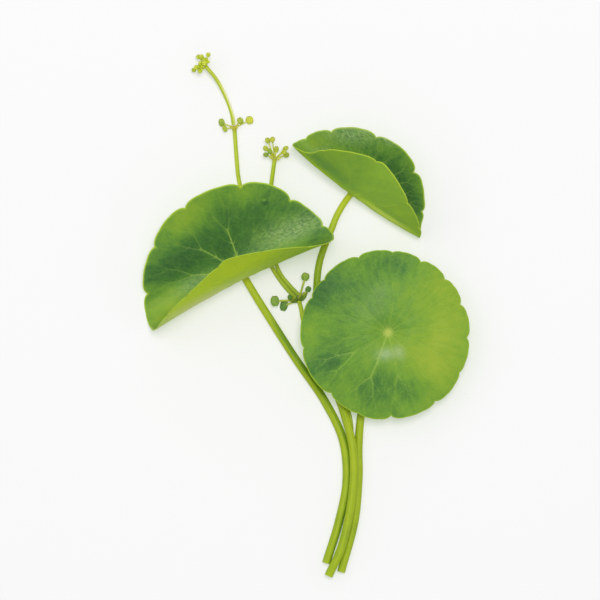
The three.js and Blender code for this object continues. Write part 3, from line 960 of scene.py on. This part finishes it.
def vein_lines(blade):
    """Veins of the flat leaf as (points, widths, how clear they are): main veins to each lobe that
    fork twice, and side veins between them."""
    draw = random.Random(blade.name)
    lines = []
    mains = [vein[0] for vein in blade.veins]

    def line(clear, start, end, wide, narrow, sway):
        (from_angle, from_ring), (to_angle, to_ring) = start, end
        steps = max(4, int((to_ring - from_ring) * blade.radius / VEIN_STEP))
        points = []
        widths = []
        for i in range(steps + 1):
            share = i / steps
            bend = sway * math.sin(math.pi * share)
            angle = from_angle + (to_angle - from_angle) * share ** 0.85 + bend
            edge = blade.rim(np.array([angle % 360.0]))[0]
            points.append(edge * (from_ring + (to_ring - from_ring) * share))
            widths.append(wide + (narrow - wide) * share)
        lines.append((np.array(points), np.array(widths), clear))

    for i, (main, inner, outer) in enumerate(blade.veins):
        before = (main - mains[i - 1]) % 360
        after = (mains[(i + 1) % len(mains)] - main) % 360
        fork = draw.uniform(*FORK_RING)
        lean = draw.uniform(-2, 2)
        forked = main + lean
        line(inner, (main, VEIN_START), (forked, fork), 0.42, 0.3, draw.uniform(-1.5, 1.5))
        for side, gap in ((-1, before), (1, after)):
            second = draw.uniform(*SECOND_FORK_RING)
            arm = forked + side * gap * draw.uniform(*FORK_SPREAD)
            line(outer * 0.8, (forked, fork), (arm, second), 0.28, 0.2, side * 1.5)
            for twig, spread in TWIG_SPREADS:
                tip = arm + twig * gap * spread * draw.uniform(0.8, 1.3)
                line(outer * 0.7, (arm, second), (tip, draw.uniform(*VEIN_END_RING)), 0.2, 0.1, twig)
            for ring, length in SIDE_VEINS:
                base = main + lean * min(1, ring / fork)
                if ring > fork:
                    base = forked + (arm - forked) * (ring - fork) / (second - fork)
                reach = side * gap * draw.uniform(*SIDE_VEIN_SPREAD)
                start = ring * draw.uniform(0.92, 1.08)
                clear = (inner if ring < fork else outer) * 0.5
                line(clear, (base, start), (base + reach, start + length), 0.16, 0.08, side * 2)
    return lines


def vein_traces(points, lines):
    """Five rows over the points, each the most that any vein gives there: the height of the vein, a
    wide soft version of it, its place in the vein, 1 on the middle line to 0 at its side, how clearly
    the vein shows, and how clearly the paler band along it does."""
    traces = np.zeros((5, len(points)))
    for line, widths, clear in lines:
        low, high = line.min(0) - 1.5, line.max(0) + 1.5
        near = np.where(((points > low) & (points < high)).all(axis=1))[0]
        if not len(near):
            continue
        a, b = line[:-1], line[1:]
        ab = b - a
        p = points[near][:, None, :]
        share = np.clip(((p - a) * ab).sum(-1) / np.maximum((ab ** 2).sum(-1), 1e-9), 0, 1)
        distance = np.linalg.norm(p - (a + ab * share[..., None]), axis=-1)
        width = widths[:-1] + (widths[1:] - widths[:-1]) * share
        strength = np.clip((width - 0.04) * 2.4, 0.08, 1)
        profile = np.clip(1 - distance / (width * 0.75), 0, 1)
        band = hump(distance, width + 0.32) * strength
        shown = np.clip(width * 3, 0, 1) * clear * (distance < width * 1.6)
        found = [profile * strength, band, profile, shown, band * clear]
        traces[:, near] = np.maximum(traces[:, near], [each.max(axis=1) for each in found])
    return traces


EDGE_STEP = 0.9
NOTCH_STEPS = np.array([-1.2, -0.5, 0, 0.5, 1.2])
EDGE_ROW = 0.22
VEIN_SIDE = 0.75
GRID_SPACING = 0.56
GRID_ROW = 0.866
GRID_JITTER = 0.09
GRID_FROM_EDGE = 0.8
VEIN_NEARNESS = 0.62


def leaf_grid(blade):
    """Points in staggered rows over the leaf, a little out of line."""
    size = int(blade.radius / GRID_SPACING) + 3
    grid = []
    for i in range(-size, size + 1):
        for j in range(-size, size + 1):
            x = (i + 0.5 * (j % 2)) * GRID_SPACING + rng.uniform(-GRID_JITTER, GRID_JITTER)
            y = j * GRID_SPACING * GRID_ROW + rng.uniform(-GRID_JITTER, GRID_JITTER)
            grid.append((x, y))
    grid = np.array(grid)
    return grid[blade.polar(grid)[1] < 1 - GRID_FROM_EDGE / blade.radius]


def flat_mesh(blade, lines):
    """Triangles over the flat leaf, with rows of vertices along the rim and along each vein."""
    angles = [np.arange(0, 360, EDGE_STEP)] + [at + NOTCH_STEPS for at, _ in blade.notches]
    angles = np.unique(np.round(np.concatenate(angles) % 360, 2))
    edge = blade.rim(angles)
    count = len(edge)
    points = [edge, edge * (1 - EDGE_ROW / blade.radius), edge * (1 - RIM_WIDTH / blade.radius)]
    kept_lines = [(i, (i + 1) % count) for i in range(count)]
    start = 3 * count
    for line, widths, _ in lines:
        along = unit(np.gradient(line, axis=0))
        across = np.stack([-along[:, 1], along[:, 0]], axis=1)
        for side in (-VEIN_SIDE, 0, VEIN_SIDE):
            points.append(line + across * (widths * side)[:, None])
            if side == 0:
                kept_lines += [(start + i, start + i + 1) for i in range(len(line) - 1)]
            start += len(line)
    grid = leaf_grid(blade)
    points.append(grid[vein_traces(grid, lines)[1] < VEIN_NEARNESS])
    points = [Vector(p) for p in np.concatenate(points)]
    made = delaunay_2d_cdt(points, kept_lines, [list(range(count))], 1, 1e-5, False)
    flat = np.array([tuple(p) for p in made[0]])
    corners = np.array([list(face) for face in made[2]])
    corners = corners[blade.polar(flat[corners].mean(axis=1))[1] < 1]
    a, b, c = flat[corners].transpose(1, 0, 2)
    clockwise = (b[:, 0] - a[:, 0]) * (c[:, 1] - a[:, 1]) < (b[:, 1] - a[:, 1]) * (c[:, 0] - a[:, 0])
    corners[clockwise] = corners[clockwise][:, ::-1]
    return flat, corners


EDGE_BULGE = 0.06
RIM_ROUNDING = 0.07
VEIN_SUNK = 0.05
VEIN_RAISED = 0.08
QUILT_HEIGHT = 0.06
UNDER_QUILT = 0.6


def lifted(flat):
    """Places on the flat leaf as vectors."""
    return np.column_stack([flat, np.zeros(len(flat))])


def close_rim(shape, blade, flat, corners, upper, under):
    """The wall between the two faces, bulging outward along its middle."""
    sides = [(face[i], face[(i + 1) % 3]) for face in corners.tolist() for i in range(3)]
    shared = set(sides)
    outer = [(p, q) for p, q in sides if (q, p) not in shared]
    count = len(flat)
    rim = list(dict.fromkeys(i for pair in outer for i in pair))
    middle = (upper[rim] + under[rim]) / 2
    outward = unit(middle - blade.laid(flat[rim] * 0.98, 0))
    place = {i: shape.count + n for n, i in enumerate(rim)}
    shape.add(middle + outward * EDGE_BULGE, [], face=0.5, flat=lifted(flat[rim]), rim=1.0)
    for p, q in outer:
        shape.faces.append([p, place[p], place[q], q])
        shape.faces.append([place[p], p + count, q + count, place[q]])


def leaf_piece(leaf, finish):
    """A closed thin blade: upper face, under face and the rim's wall."""
    blade = Blade(leaf)
    lines = vein_lines(blade)
    flat, corners = flat_mesh(blade, lines)
    crisp, wide, vein, shown, band = vein_traces(flat, lines)
    ring = blade.polar(flat)[1]
    from_hub = np.hypot(*flat.T)
    rim = np.clip(1 - from_hub * (1 / np.maximum(ring, 1e-6) - 1) / RIM_WIDTH, 0, 1)
    fade = 1 - rim
    bright = rim
    for notch in blade.notch_points():
        bright = np.maximum(bright, NOTCH_GLOW * hump(np.hypot(*(flat - notch).T), NOTCH_GLOW_REACH))
    hub = hump(from_hub, 1.0) * 0.9 + 0.3 * np.exp(-from_hub / 2.4) * crisp
    away = from_hub[:, None]
    common = dict(
        flat=lifted(flat),
        radial=np.column_stack([flat / np.maximum(away, 0.01) * RAY_CIRCLE, away * RAY_STRETCH]),
        vein=vein, clear=shown, halo=band, hub=hub,
        rim=bright * blade.rim_light,
        wrinkles=blade.wrinkles,
    )

    quilt = QUILT_HEIGHT * (1 - 2 * wide) * fade
    upper = blade.laid(flat, 1, quilt - VEIN_SUNK * crisp - RIM_ROUNDING * rim ** 2)
    under_height = quilt * UNDER_QUILT - VEIN_RAISED * crisp * fade + RIM_ROUNDING * rim ** 2
    under = blade.laid(flat, -1, under_height)
    shape = Shape()
    # Each face gets its painted light and shade patches and its painted sheen.
    for face, points, turned, patches, bloom in (
        (1, upper, corners, blade.patches, blade.bloom),
        (0, under, corners[:, ::-1], blade.under_patches, blade.under_bloom),
    ):
        x, y = points[:, 0], points[:, 1]
        looks = dict(common, face=face, shade=patch_sum(patches, x, y), bloom=patch_sum(bloom, x, y))
        shape.add(points, turned.tolist(), **looks)
    close_rim(shape, blade, flat, corners, upper, under)
    shape.piece(blade.name, finish, "leaf")
    return blade


# Stalks

CURVE_STEP = 0.02
CURVE_SPACING = 0.1
TUBE_STEP = 0.7
TAPER_START = 0.4
TUBE_SIDES = 40
TUBE_FIT = 0.975
TUBE_RIDGES = 0.022
SWELLING = 0.012
JOINT_GAP = 0.15
JOINT_OVERLAP = 0.22
CLIMB_STEPS = 80
# How much wider and paler a stalk is under its blade, and over how many millimetres
FLARE = (0.16, 0.9)
PALE_UNDER_BLADE = (0.9, 15)


def curve_through(points):
    """A smooth line through the points, closely and evenly spaced."""
    points = [np.array(p, float) for p in points]
    points = [2 * points[0] - points[1]] + points + [2 * points[-1] - points[-2]]
    line = []
    for i in range(1, len(points) - 2):
        p = points[i - 1:i + 3]
        gaps = [max(np.linalg.norm(p[k + 1] - p[k]) ** 0.5, 1e-4) for k in range(3)]
        start = (p[1] - p[0]) / gaps[0] - (p[2] - p[0]) / (gaps[0] + gaps[1]) + (p[2] - p[1]) / gaps[1]
        end = (p[2] - p[1]) / gaps[1] - (p[3] - p[1]) / (gaps[1] + gaps[2]) + (p[3] - p[2]) / gaps[2]
        start, end = start * gaps[1], end * gaps[1]
        for t in np.arange(0, 1, CURVE_STEP):
            line.append(
                p[1] * (2 * t ** 3 - 3 * t ** 2 + 1) + start * (t ** 3 - 2 * t ** 2 + t)
                + p[2] * (3 * t ** 2 - 2 * t ** 3) + end * (t ** 3 - t ** 2)
            )
    line.append(points[-2])
    return even(np.array(line), CURVE_SPACING)


def lying(stalk):
    """A stalk's middle line over the table, with its heights."""
    plan = curve_through(stalk["plan"])
    share = np.linspace(0, 1, len(plan))
    height = np.zeros(len(plan))
    stations = stalk["heights"]
    for (start, low), (end, high) in zip(stations, stations[1:]):
        part = (share >= start) & (share <= end)
        height[part] = low + (high - low) * smooth((share[part] - start) / (end - start))
    return np.column_stack([plan, height])


def leaf_stalk_route(stalk, blade):
    """From the cut end along the table, and up into the middle of the blade."""
    route = lying(stalk)
    lift_off = route[-1]
    point, away = blade.joint()
    joint = point + away * JOINT_GAP
    reach = np.linalg.norm(joint - lift_off) * 0.4
    onward = lift_off + unit(route[-1] - route[-2]) * reach
    rise = (lift_off[2] - joint[2]) / away[2]
    below = joint + away * min(reach, rise)
    t = np.linspace(0, 1, CLIMB_STEPS)[1:, None]
    climb = (
        lift_off * (1 - t) ** 3 + 3 * onward * t * (1 - t) ** 2
        + 3 * below * t ** 2 * (1 - t) + joint * t ** 3
    )
    into_blade = joint - away * JOINT_OVERLAP
    return even(np.concatenate([route, climb, [into_blade]]), TUBE_STEP)


def leaf_stalk_piece(name, stalk, blade, finish):
    """A leaf stalk that tapers towards its leaf, flares under the blade and is paler there."""
    route = leaf_stalk_route(stalk, blade)
    number = np.arange(len(route))
    share = number / number[-1]
    taper = smooth(np.clip((share - TAPER_START) / (1 - TAPER_START), 0, 1))
    from_leaf = (number[-1] - number) * TUBE_STEP
    radii = stalk["radius"] * TUBE_FIT * (1 + (stalk["taper"] - 1) * taper)
    radii *= 1 + FLARE[0] * hump(from_leaf, FLARE[1])
    radii *= 1 + SWELLING * np.sin(number * 0.21 + stalk["radius"] * 9)
    shape = Shape()
    sweep(shape, route, radii, TUBE_SIDES, TUBE_RIDGES, cut_start=True)
    middle, half_length, amount = stalk["greener"]
    # Which side of a leaf stalk carries the painted shade, and how much.
    shape.set_value("flank", shape.value("flank") * stalk["right_side_dark"])
    shape.set_value("leafy", amount * hump(shape.all_points()[:, 1] - middle, half_length))
    pale = PALE_UNDER_BLADE[0] * hump(from_leaf, PALE_UNDER_BLADE[1])
    shape.set_value("pale", np.repeat(pale, TUBE_SIDES))
    shape.piece(name, finish, "leaf_stalk")


# Flower stalk, rays and bracts

RAY_STEP = 0.42
RAY_TUBE_SIDES = 24
RAY_RIDGES = 0.03
RAY_SWELLING = 0.02
NODE_FIT = 0.96
NODE_REACH = 1.35
BRACT_ROWS = 7
BRACT_LENGTH = 1.1
BRACT_WIDTH = 0.62
BRACT_CURL = 0.12
BRACT_CUP = 0.18
BRACT_THICKNESS = (0.03, 0.015)
HIGHLIGHT_MIDDLE = 0.36
GREEN_REACH = 7
BLUSH_REACH = 0.75


def bract(shape, root, outward, length, leafy, tinted):
    """A small pointed scale that grows from root and bends outward, tinted orange at its tip."""
    outward = np.array(unit(outward))
    side = unit(np.cross(outward, UP) + 1e-6)

    def half_width(t):
        return length * BRACT_WIDTH / 2 * math.sin(math.pi * (0.15 + 0.85 * t)) ** 0.8 * (1 - 0.35 * t)

    def rise(t):
        return BRACT_CURL * t ** 2

    axes = (outward, side, np.cross(side, outward))
    points, faces, share = thin_sheet(
        root, axes, length, BRACT_ROWS, half_width, rise, BRACT_CUP, BRACT_THICKNESS
    )
    shape.add(points, faces, skin=points * 0.7, pale=1.0, leafy=leafy, blush=tinted * share ** 3)


def knob(share):
    """The outline of a round end or swelling."""
    return np.sqrt(np.clip(1 - share ** 2, 0, 1))


def ray_piece(name, ray, finish):
    """A thin stalk that ends in a swollen node with its bracts."""
    route = even(lying(ray), RAY_STEP)
    at, swelling = np.array(ray["node"][0]), ray["node"][1]
    to_node = np.linalg.norm(route - at, axis=1)
    radii = ray["radius"] * (1 + RAY_SWELLING * np.sin(np.arange(len(route)) * 0.33))
    radii = np.maximum(radii, swelling * NODE_FIT * knob(to_node / swelling / NODE_REACH))
    beyond = route[-1] + unit(route[-1] - route[-2]) * swelling * 0.8
    tip = even(np.array([route[-1], beyond]), 0.2)[1:]
    tip_radii = swelling * NODE_FIT * knob(np.linalg.norm(tip - route[-1], axis=1) / swelling)
    lift = np.clip(1 - to_node / (swelling * 1.6), 0, 1)
    route[:, 2] += smooth(lift) * np.maximum(0, at[2] - route[:, 2])
    centres = np.concatenate([route, tip])
    shape = Shape()
    sweep(
        shape, centres, np.concatenate([radii, tip_radii]), RAY_TUBE_SIDES, RAY_RIDGES,
        cut_start=ray["cut_start"],
    )
    from_start = np.linalg.norm(shape.all_points() - route[0], axis=1)
    share = from_start / np.linalg.norm(route[-1] - route[0])
    # A painted highlight along the lit side of the ray, round its middle.
    highlight_side = np.clip(shape.value("flank") * 1.3, 0, 1)
    shape.set_value("pale", ray["pale"] * highlight_side * hump(share - HIGHLIGHT_MIDDLE, HIGHLIGHT_MIDDLE))
    shape.set_value("leafy", ray["green_start"] * hump(from_start, GREEN_REACH))

    along = unit(route[-1] - route[-3])
    side = unit(np.cross(along, UP))
    length = swelling * BRACT_LENGTH * ray["bract_size"]
    tinted = ray["leafy"] * 0.3 + ray["blush"] * 0.6
    for i in range(ray["bracts"]):
        turn = i * 2 * math.pi / ray["bracts"] + 0.7
        around = side * math.cos(turn) + np.cross(side, along) * math.sin(turn)
        root = at + around * swelling * 0.75
        bract(shape, root, around * 0.75 + along * 0.45, length, ray["leafy"], tinted)
    from_node = np.linalg.norm(shape.all_points() - at, axis=1)
    shape.set_value("blush", ray["blush"] * hump(from_node, BLUSH_REACH) + shape.value("blush"))
    shape.piece(name, finish, "flower_stalk")


# Fruits

FRUIT_THICKNESS = 0.52
FRUIT_RINGS = 30
FRUIT_SIDES = 56
CLEFT_WIDTH = 0.3
CLEFT_DEPTH = 0.45
RIB_HEIGHT = 0.08
STYLE_POINTS = 8
STYLE_RADII = (0.05, 0.03)


def pedicel_route(node, centre, stop_short):
    """A little stalk that leaves the node and arches up to centre, or stops a share short of it."""
    at, radius = node
    centre = Vector(centre)
    start = Vector(at) + (centre - Vector(at)).normalized() * radius * 0.8
    middle = start.lerp(centre, 0.5)
    middle.z += 0.1 * (centre - start).length
    points = []
    for t in np.linspace(0, 1 - stop_short, 16):
        points.append(tuple(start.lerp(middle, t).lerp(middle.lerp(centre, t), t)))
    return np.array(points)


def fruit_body(width, length):
    """A flat body of two round halves with curved ribs: its points, how deep in a groove each one is,
    and how near the top of the cleft."""
    polar = np.linspace(0, math.pi, FRUIT_RINGS + 1)[:, None]
    around = np.linspace(0, 2 * math.pi, FRUIT_SIDES, endpoint=False)[None, :]
    across = np.sin(polar) * np.cos(around)
    along = np.sin(polar) * np.sin(around)
    cleft = hump(across, CLEFT_WIDTH)
    edge = np.hypot(across, along)
    rib = 0.5 + 0.5 * np.cos(2 * math.pi * (np.abs(across) * 2.1 + 0.35 * along ** 2))
    ridge = RIB_HEIGHT * rib * (1 - edge ** 6) * (1 - cleft)
    thickness = FRUIT_THICKNESS * (1 - CLEFT_DEPTH * cleft * (1 - along ** 2)) * (0.92 + ridge)
    points = np.stack([
        across * width / 2, along * (1 - 0.16 * cleft) * length / 2, np.cos(polar) * thickness
    ], axis=-1)
    groove = np.minimum(1, cleft * 0.8 * edge + 0.5 * (1 - rib) * (1 - cleft) * (1 - edge ** 4))
    tip = 0.6 * hump(along - 1, 0.12) * cleft
    return points.reshape(-1, 3), groove.ravel(), tip.ravel()


def fruit_piece(name, node, stalk_radius, stalk_ripe, fruit, finish):
    """A fruit with its two styles and its own thin stalk."""
    centre, width, length, turn, ripe = fruit
    side = np.array((math.cos(math.radians(turn)), math.sin(math.radians(turn)), 0.0))
    top = np.array((-side[1], side[0], 0.0))
    body, groove, tip = fruit_body(width, length)
    spun = body[:, :1] * side + body[:, 1:2] * top + body[:, 2:] * UP + centre
    flat = body + (centre[0], centre[1], 0)
    shape = Shape()
    faces = ring_faces(FRUIT_RINGS + 1, FRUIT_SIDES)
    shape.add(spun, faces, flat=flat, groove=groove, ripe=ripe, tip=tip)
    route = pedicel_route(node, centre, 0.03)
    radii = stalk_radius * (1 + 0.25 * hump(np.linspace(0, 1, len(route)), 0.12))
    strand(shape, route, radii, dict(groove=0.0, ripe=stalk_ripe, tip=0.0))
    start = np.array(centre) + top * length * 0.38 + (0, 0, FRUIT_THICKNESS * 0.35)
    t = np.linspace(0, 1, STYLE_POINTS)[:, None]
    for way in (-1, 1):
        sideways = side * way * (0.05 + 0.26 * t ** 1.5) * width / 2
        style = start + sideways + (top * 0.12 + (0, 0, 0.16)) * t
        strand(shape, style, np.linspace(*STYLE_RADII, STYLE_POINTS), dict(groove=0.0, ripe=0.8, tip=1.0))
    shape.piece(name, finish, "fruit")


# Florets

PETALS = 5
PETAL_ROWS = 6
PETAL_LENGTH = 0.58
PETAL_WIDTH = 0.46
PETAL_CUP = -0.15
PETAL_THICKNESS = (0.02, 0.02)
OVARY_HALF = (0.4, 0.4, 0.54)
NECTAR_DISC = (0.27, 0.27, 0.14)
BUD = (0.36, 0.36, 0.44)
ANTHER_SIZE = (0.06, 0.06, 0.08)
FILAMENT_RADII = (0.035, 0.025)
FLORET_STALK_RADIUS = 0.13


def petal(shape, root, outward, up, values):
    """A small pointed oval petal that spreads outward and turns back at its tip."""

    def half_width(t):
        return PETAL_WIDTH / 2 * math.sin(math.pi * (0.12 + 0.88 * t)) ** 0.7

    def rise(t):
        return PETAL_LENGTH * (0.3 * math.sin(math.pi * t * 0.9) - 0.12 * t)

    axes = (outward, np.cross(outward, up), up)
    points, faces, _ = thin_sheet(
        root, axes, PETAL_LENGTH, PETAL_ROWS, half_width, rise, PETAL_CUP, PETAL_THICKNESS
    )
    shape.add(points, faces, flat=points, **values)


def floret_direction(i):
    """The way out to floret i, by the golden angle over the head's cone."""
    lean = math.radians(HEAD_CONE) * math.sqrt((i + 1) / FLORET_COUNT)
    turn = i * GOLDEN_ANGLE
    upright = Vector((math.sin(lean) * math.sin(turn), math.cos(lean), math.sin(lean) * math.cos(turn)))
    return Vector((0, 1, 0)).rotation_difference(HEAD_AXIS) @ upright


def floret_piece(i, finish):
    """A floret on its stalk: two ovary halves, a disc, petals, stamens, and a young bud beside it."""
    direction = floret_direction(i)
    head = np.array(LONG_TIP[0])
    centre = np.array(tuple(Vector(LONG_TIP[0]) + direction * FLORET_REACH[i % 2]))
    out = np.array(tuple(direction))
    side = unit(np.cross(out, (0.2, 0.1, 0.97)))
    other = np.cross(out, side)
    shape = Shape()
    route = pedicel_route(LONG_TIP, centre, 0.1)
    strand(shape, route, np.full(len(route), FLORET_STALK_RADIUS), dict(ripe=0.5, tip=0.0), 8)
    ball(shape, head + out * 1.75 + side * 0.35, BUD, out, dict(ripe=0.45, tip=0.0), 7, 10)
    for way in (-1, 1):
        half = centre - out * 0.1 + side * 0.26 * way
        ball(shape, half, OVARY_HALF, out, dict(ripe=0.3, tip=0.0))
    ball(shape, centre + out * 0.36, NECTAR_DISC, out, dict(ripe=0.6, tip=0.0), 6, 10)
    t = np.linspace(0, 1, 6)[:, None]
    for k in range(PETALS):
        angle = k * 2 * math.pi / PETALS + i
        spread = side * math.cos(angle) + other * math.sin(angle)
        petal(shape, centre + spread * 0.14 + out * 0.26, spread, out, dict(ripe=0.7, tip=0.0))
        angle += math.pi / PETALS
        between = side * math.cos(angle) + other * math.sin(angle)
        filament = centre + between * (0.08 + 0.34 * t) + out * (0.2 + 0.36 * t)
        strand(shape, filament, np.linspace(*FILAMENT_RADII, len(t)), dict(ripe=0.9, tip=0.0), 6)
        ball(shape, filament[-1], ANTHER_SIZE, between, dict(ripe=0.5, tip=0.8), 5, 8)
    shape.piece(f"floret_{i + 1}", finish, "floret")


# The sprig

folded_leaf = leaf_finish("folded leaf", gloss=0.2)
open_leaf = leaf_finish("open leaf", gloss=0.08)
leaf_stalk = stalk_finish(
    "leaf stalk",
    shaded=srgb(96, 140, 34),
    middle=srgb(168, 190, 40),
    lit=srgb(200, 212, 50),
    cut=srgb(206, 212, 130),
    cloud_size=9,
    painted_side_shade=0.36,
)
flower_stalk = stalk_finish(
    "flower stalk",
    shaded=srgb(140, 168, 38),
    middle=srgb(182, 200, 50),
    lit=srgb(232, 234, 132),
    cut=srgb(210, 214, 140),
    cloud_size=5,
    painted_side_shade=0.15,
)
fruit_skin = fruit_finish()
floret_skin = floret_finish()

left_blade = leaf_piece(LEFT_LEAF, folded_leaf)
right_blade = leaf_piece(RIGHT_LEAF, folded_leaf)
round_blade = leaf_piece(ROUND_LEAF, open_leaf)
leaf_stalk_piece("left_leaf_stalk", LEFT_STALK, left_blade, leaf_stalk)
leaf_stalk_piece("right_leaf_stalk", RIGHT_STALK, right_blade, leaf_stalk)
leaf_stalk_piece("round_leaf_stalk", ROUND_STALK, round_blade, leaf_stalk)
ray_piece("flower_stalk", FLOWER_STALK, flower_stalk)
ray_piece("long_ray_lower", LONG_RAY_LOWER, flower_stalk)
ray_piece("long_ray_upper", LONG_RAY_UPPER, flower_stalk)
ray_piece("short_ray", SHORT_RAY, flower_stalk)
for whorl, node, stalk_radius, stalk_ripe, fruits in (
    ("lower_fruit", FORK, 0.28, 0.6, LOWER_FRUITS),
    ("upper_fruit", WHORL, 0.17, 0.95, UPPER_FRUITS),
    ("head_fruit", SHORT_TIP, 0.17, 0.9, HEAD_FRUITS),
):
    for i, fruit in enumerate(fruits):
        fruit_piece(f"{whorl}_{i + 1}", node, stalk_radius, stalk_ripe, fruit, fruit_skin)
for i in range(FLORET_COUNT):
    floret_piece(i, floret_skin)

# Table, light and camera, in metres

TABLE_SIZE = 3.0
TABLE_COLOUR = (0.48, 0.43, 0.53, 1)
TABLE_LIGHT = (0.374, 0.435, 0.313, 1)
SKY_COLOUR = (0.98, 0.99, 1.0, 1)
SKY_STRENGTH = 0.55
CAMERA_PLACE = (-0.0014, 0.00378, 0.84)
LENS_LENGTH = 180
SENSOR_WIDTH = 36


def table():
    """A pale table top that is lit from within a little, so that it stays white round the sprig."""
    f = Finish("table")
    sockets = {
        "Base Color": TABLE_COLOUR,
        "Roughness": 0.9,
        "Specular IOR Level": 0.0,
        "Emission Color": TABLE_LIGHT,
        "Emission Strength": 1.0,
    }
    material = f.surface(f.node("ShaderNodeBsdfPrincipled", {}, sockets))
    half = TABLE_SIZE / 2
    corners = [(-half, -half, 0), (half, -half, 0), (half, half, 0), (-half, half, 0)]
    mesh = bpy.data.meshes.new("table")
    mesh.from_pydata(corners, [], [(0, 1, 2, 3)])
    mesh.materials.append(material)
    placed("table", mesh)


def area_light(name, location, size, power, colour):
    """A round soft light that points at the middle of the table."""
    data = bpy.data.lights.new(name, "AREA")
    data.shape = "DISK"
    data.size = size
    data.energy = power
    data.color = colour
    light = placed(name, data)
    light.location = location
    light.rotation_euler = (-Vector(location)).to_track_quat("-Z", "Y").to_euler()


def sky():
    world = bpy.data.worlds.new("studio")
    world.use_nodes = True
    background = world.node_tree.nodes["Background"]
    background.inputs["Color"].default_value = SKY_COLOUR
    background.inputs["Strength"].default_value = SKY_STRENGTH
    bpy.context.scene.world = world


def camera():
    """Straight above the sprig, looking down."""
    lens = bpy.data.cameras.new("camera")
    lens.lens = LENS_LENGTH
    lens.sensor_width = SENSOR_WIDTH
    lens.clip_start = 0.01
    lens.clip_end = 10
    eye = placed("camera", lens)
    eye.location = CAMERA_PLACE
    bpy.context.scene.camera = eye
    bpy.context.scene.view_settings.view_transform = "Standard"
    bpy.context.scene.view_settings.look = "None"


table()
area_light("window", (0.08, 0.2, 1.1), size=0.4, power=7.4, colour=(1.0, 0.99, 0.97))
area_light("fill", (-0.5, 0.3, 0.9), size=0.9, power=1.9, colour=(0.97, 0.98, 1.0))
sky()
camera()
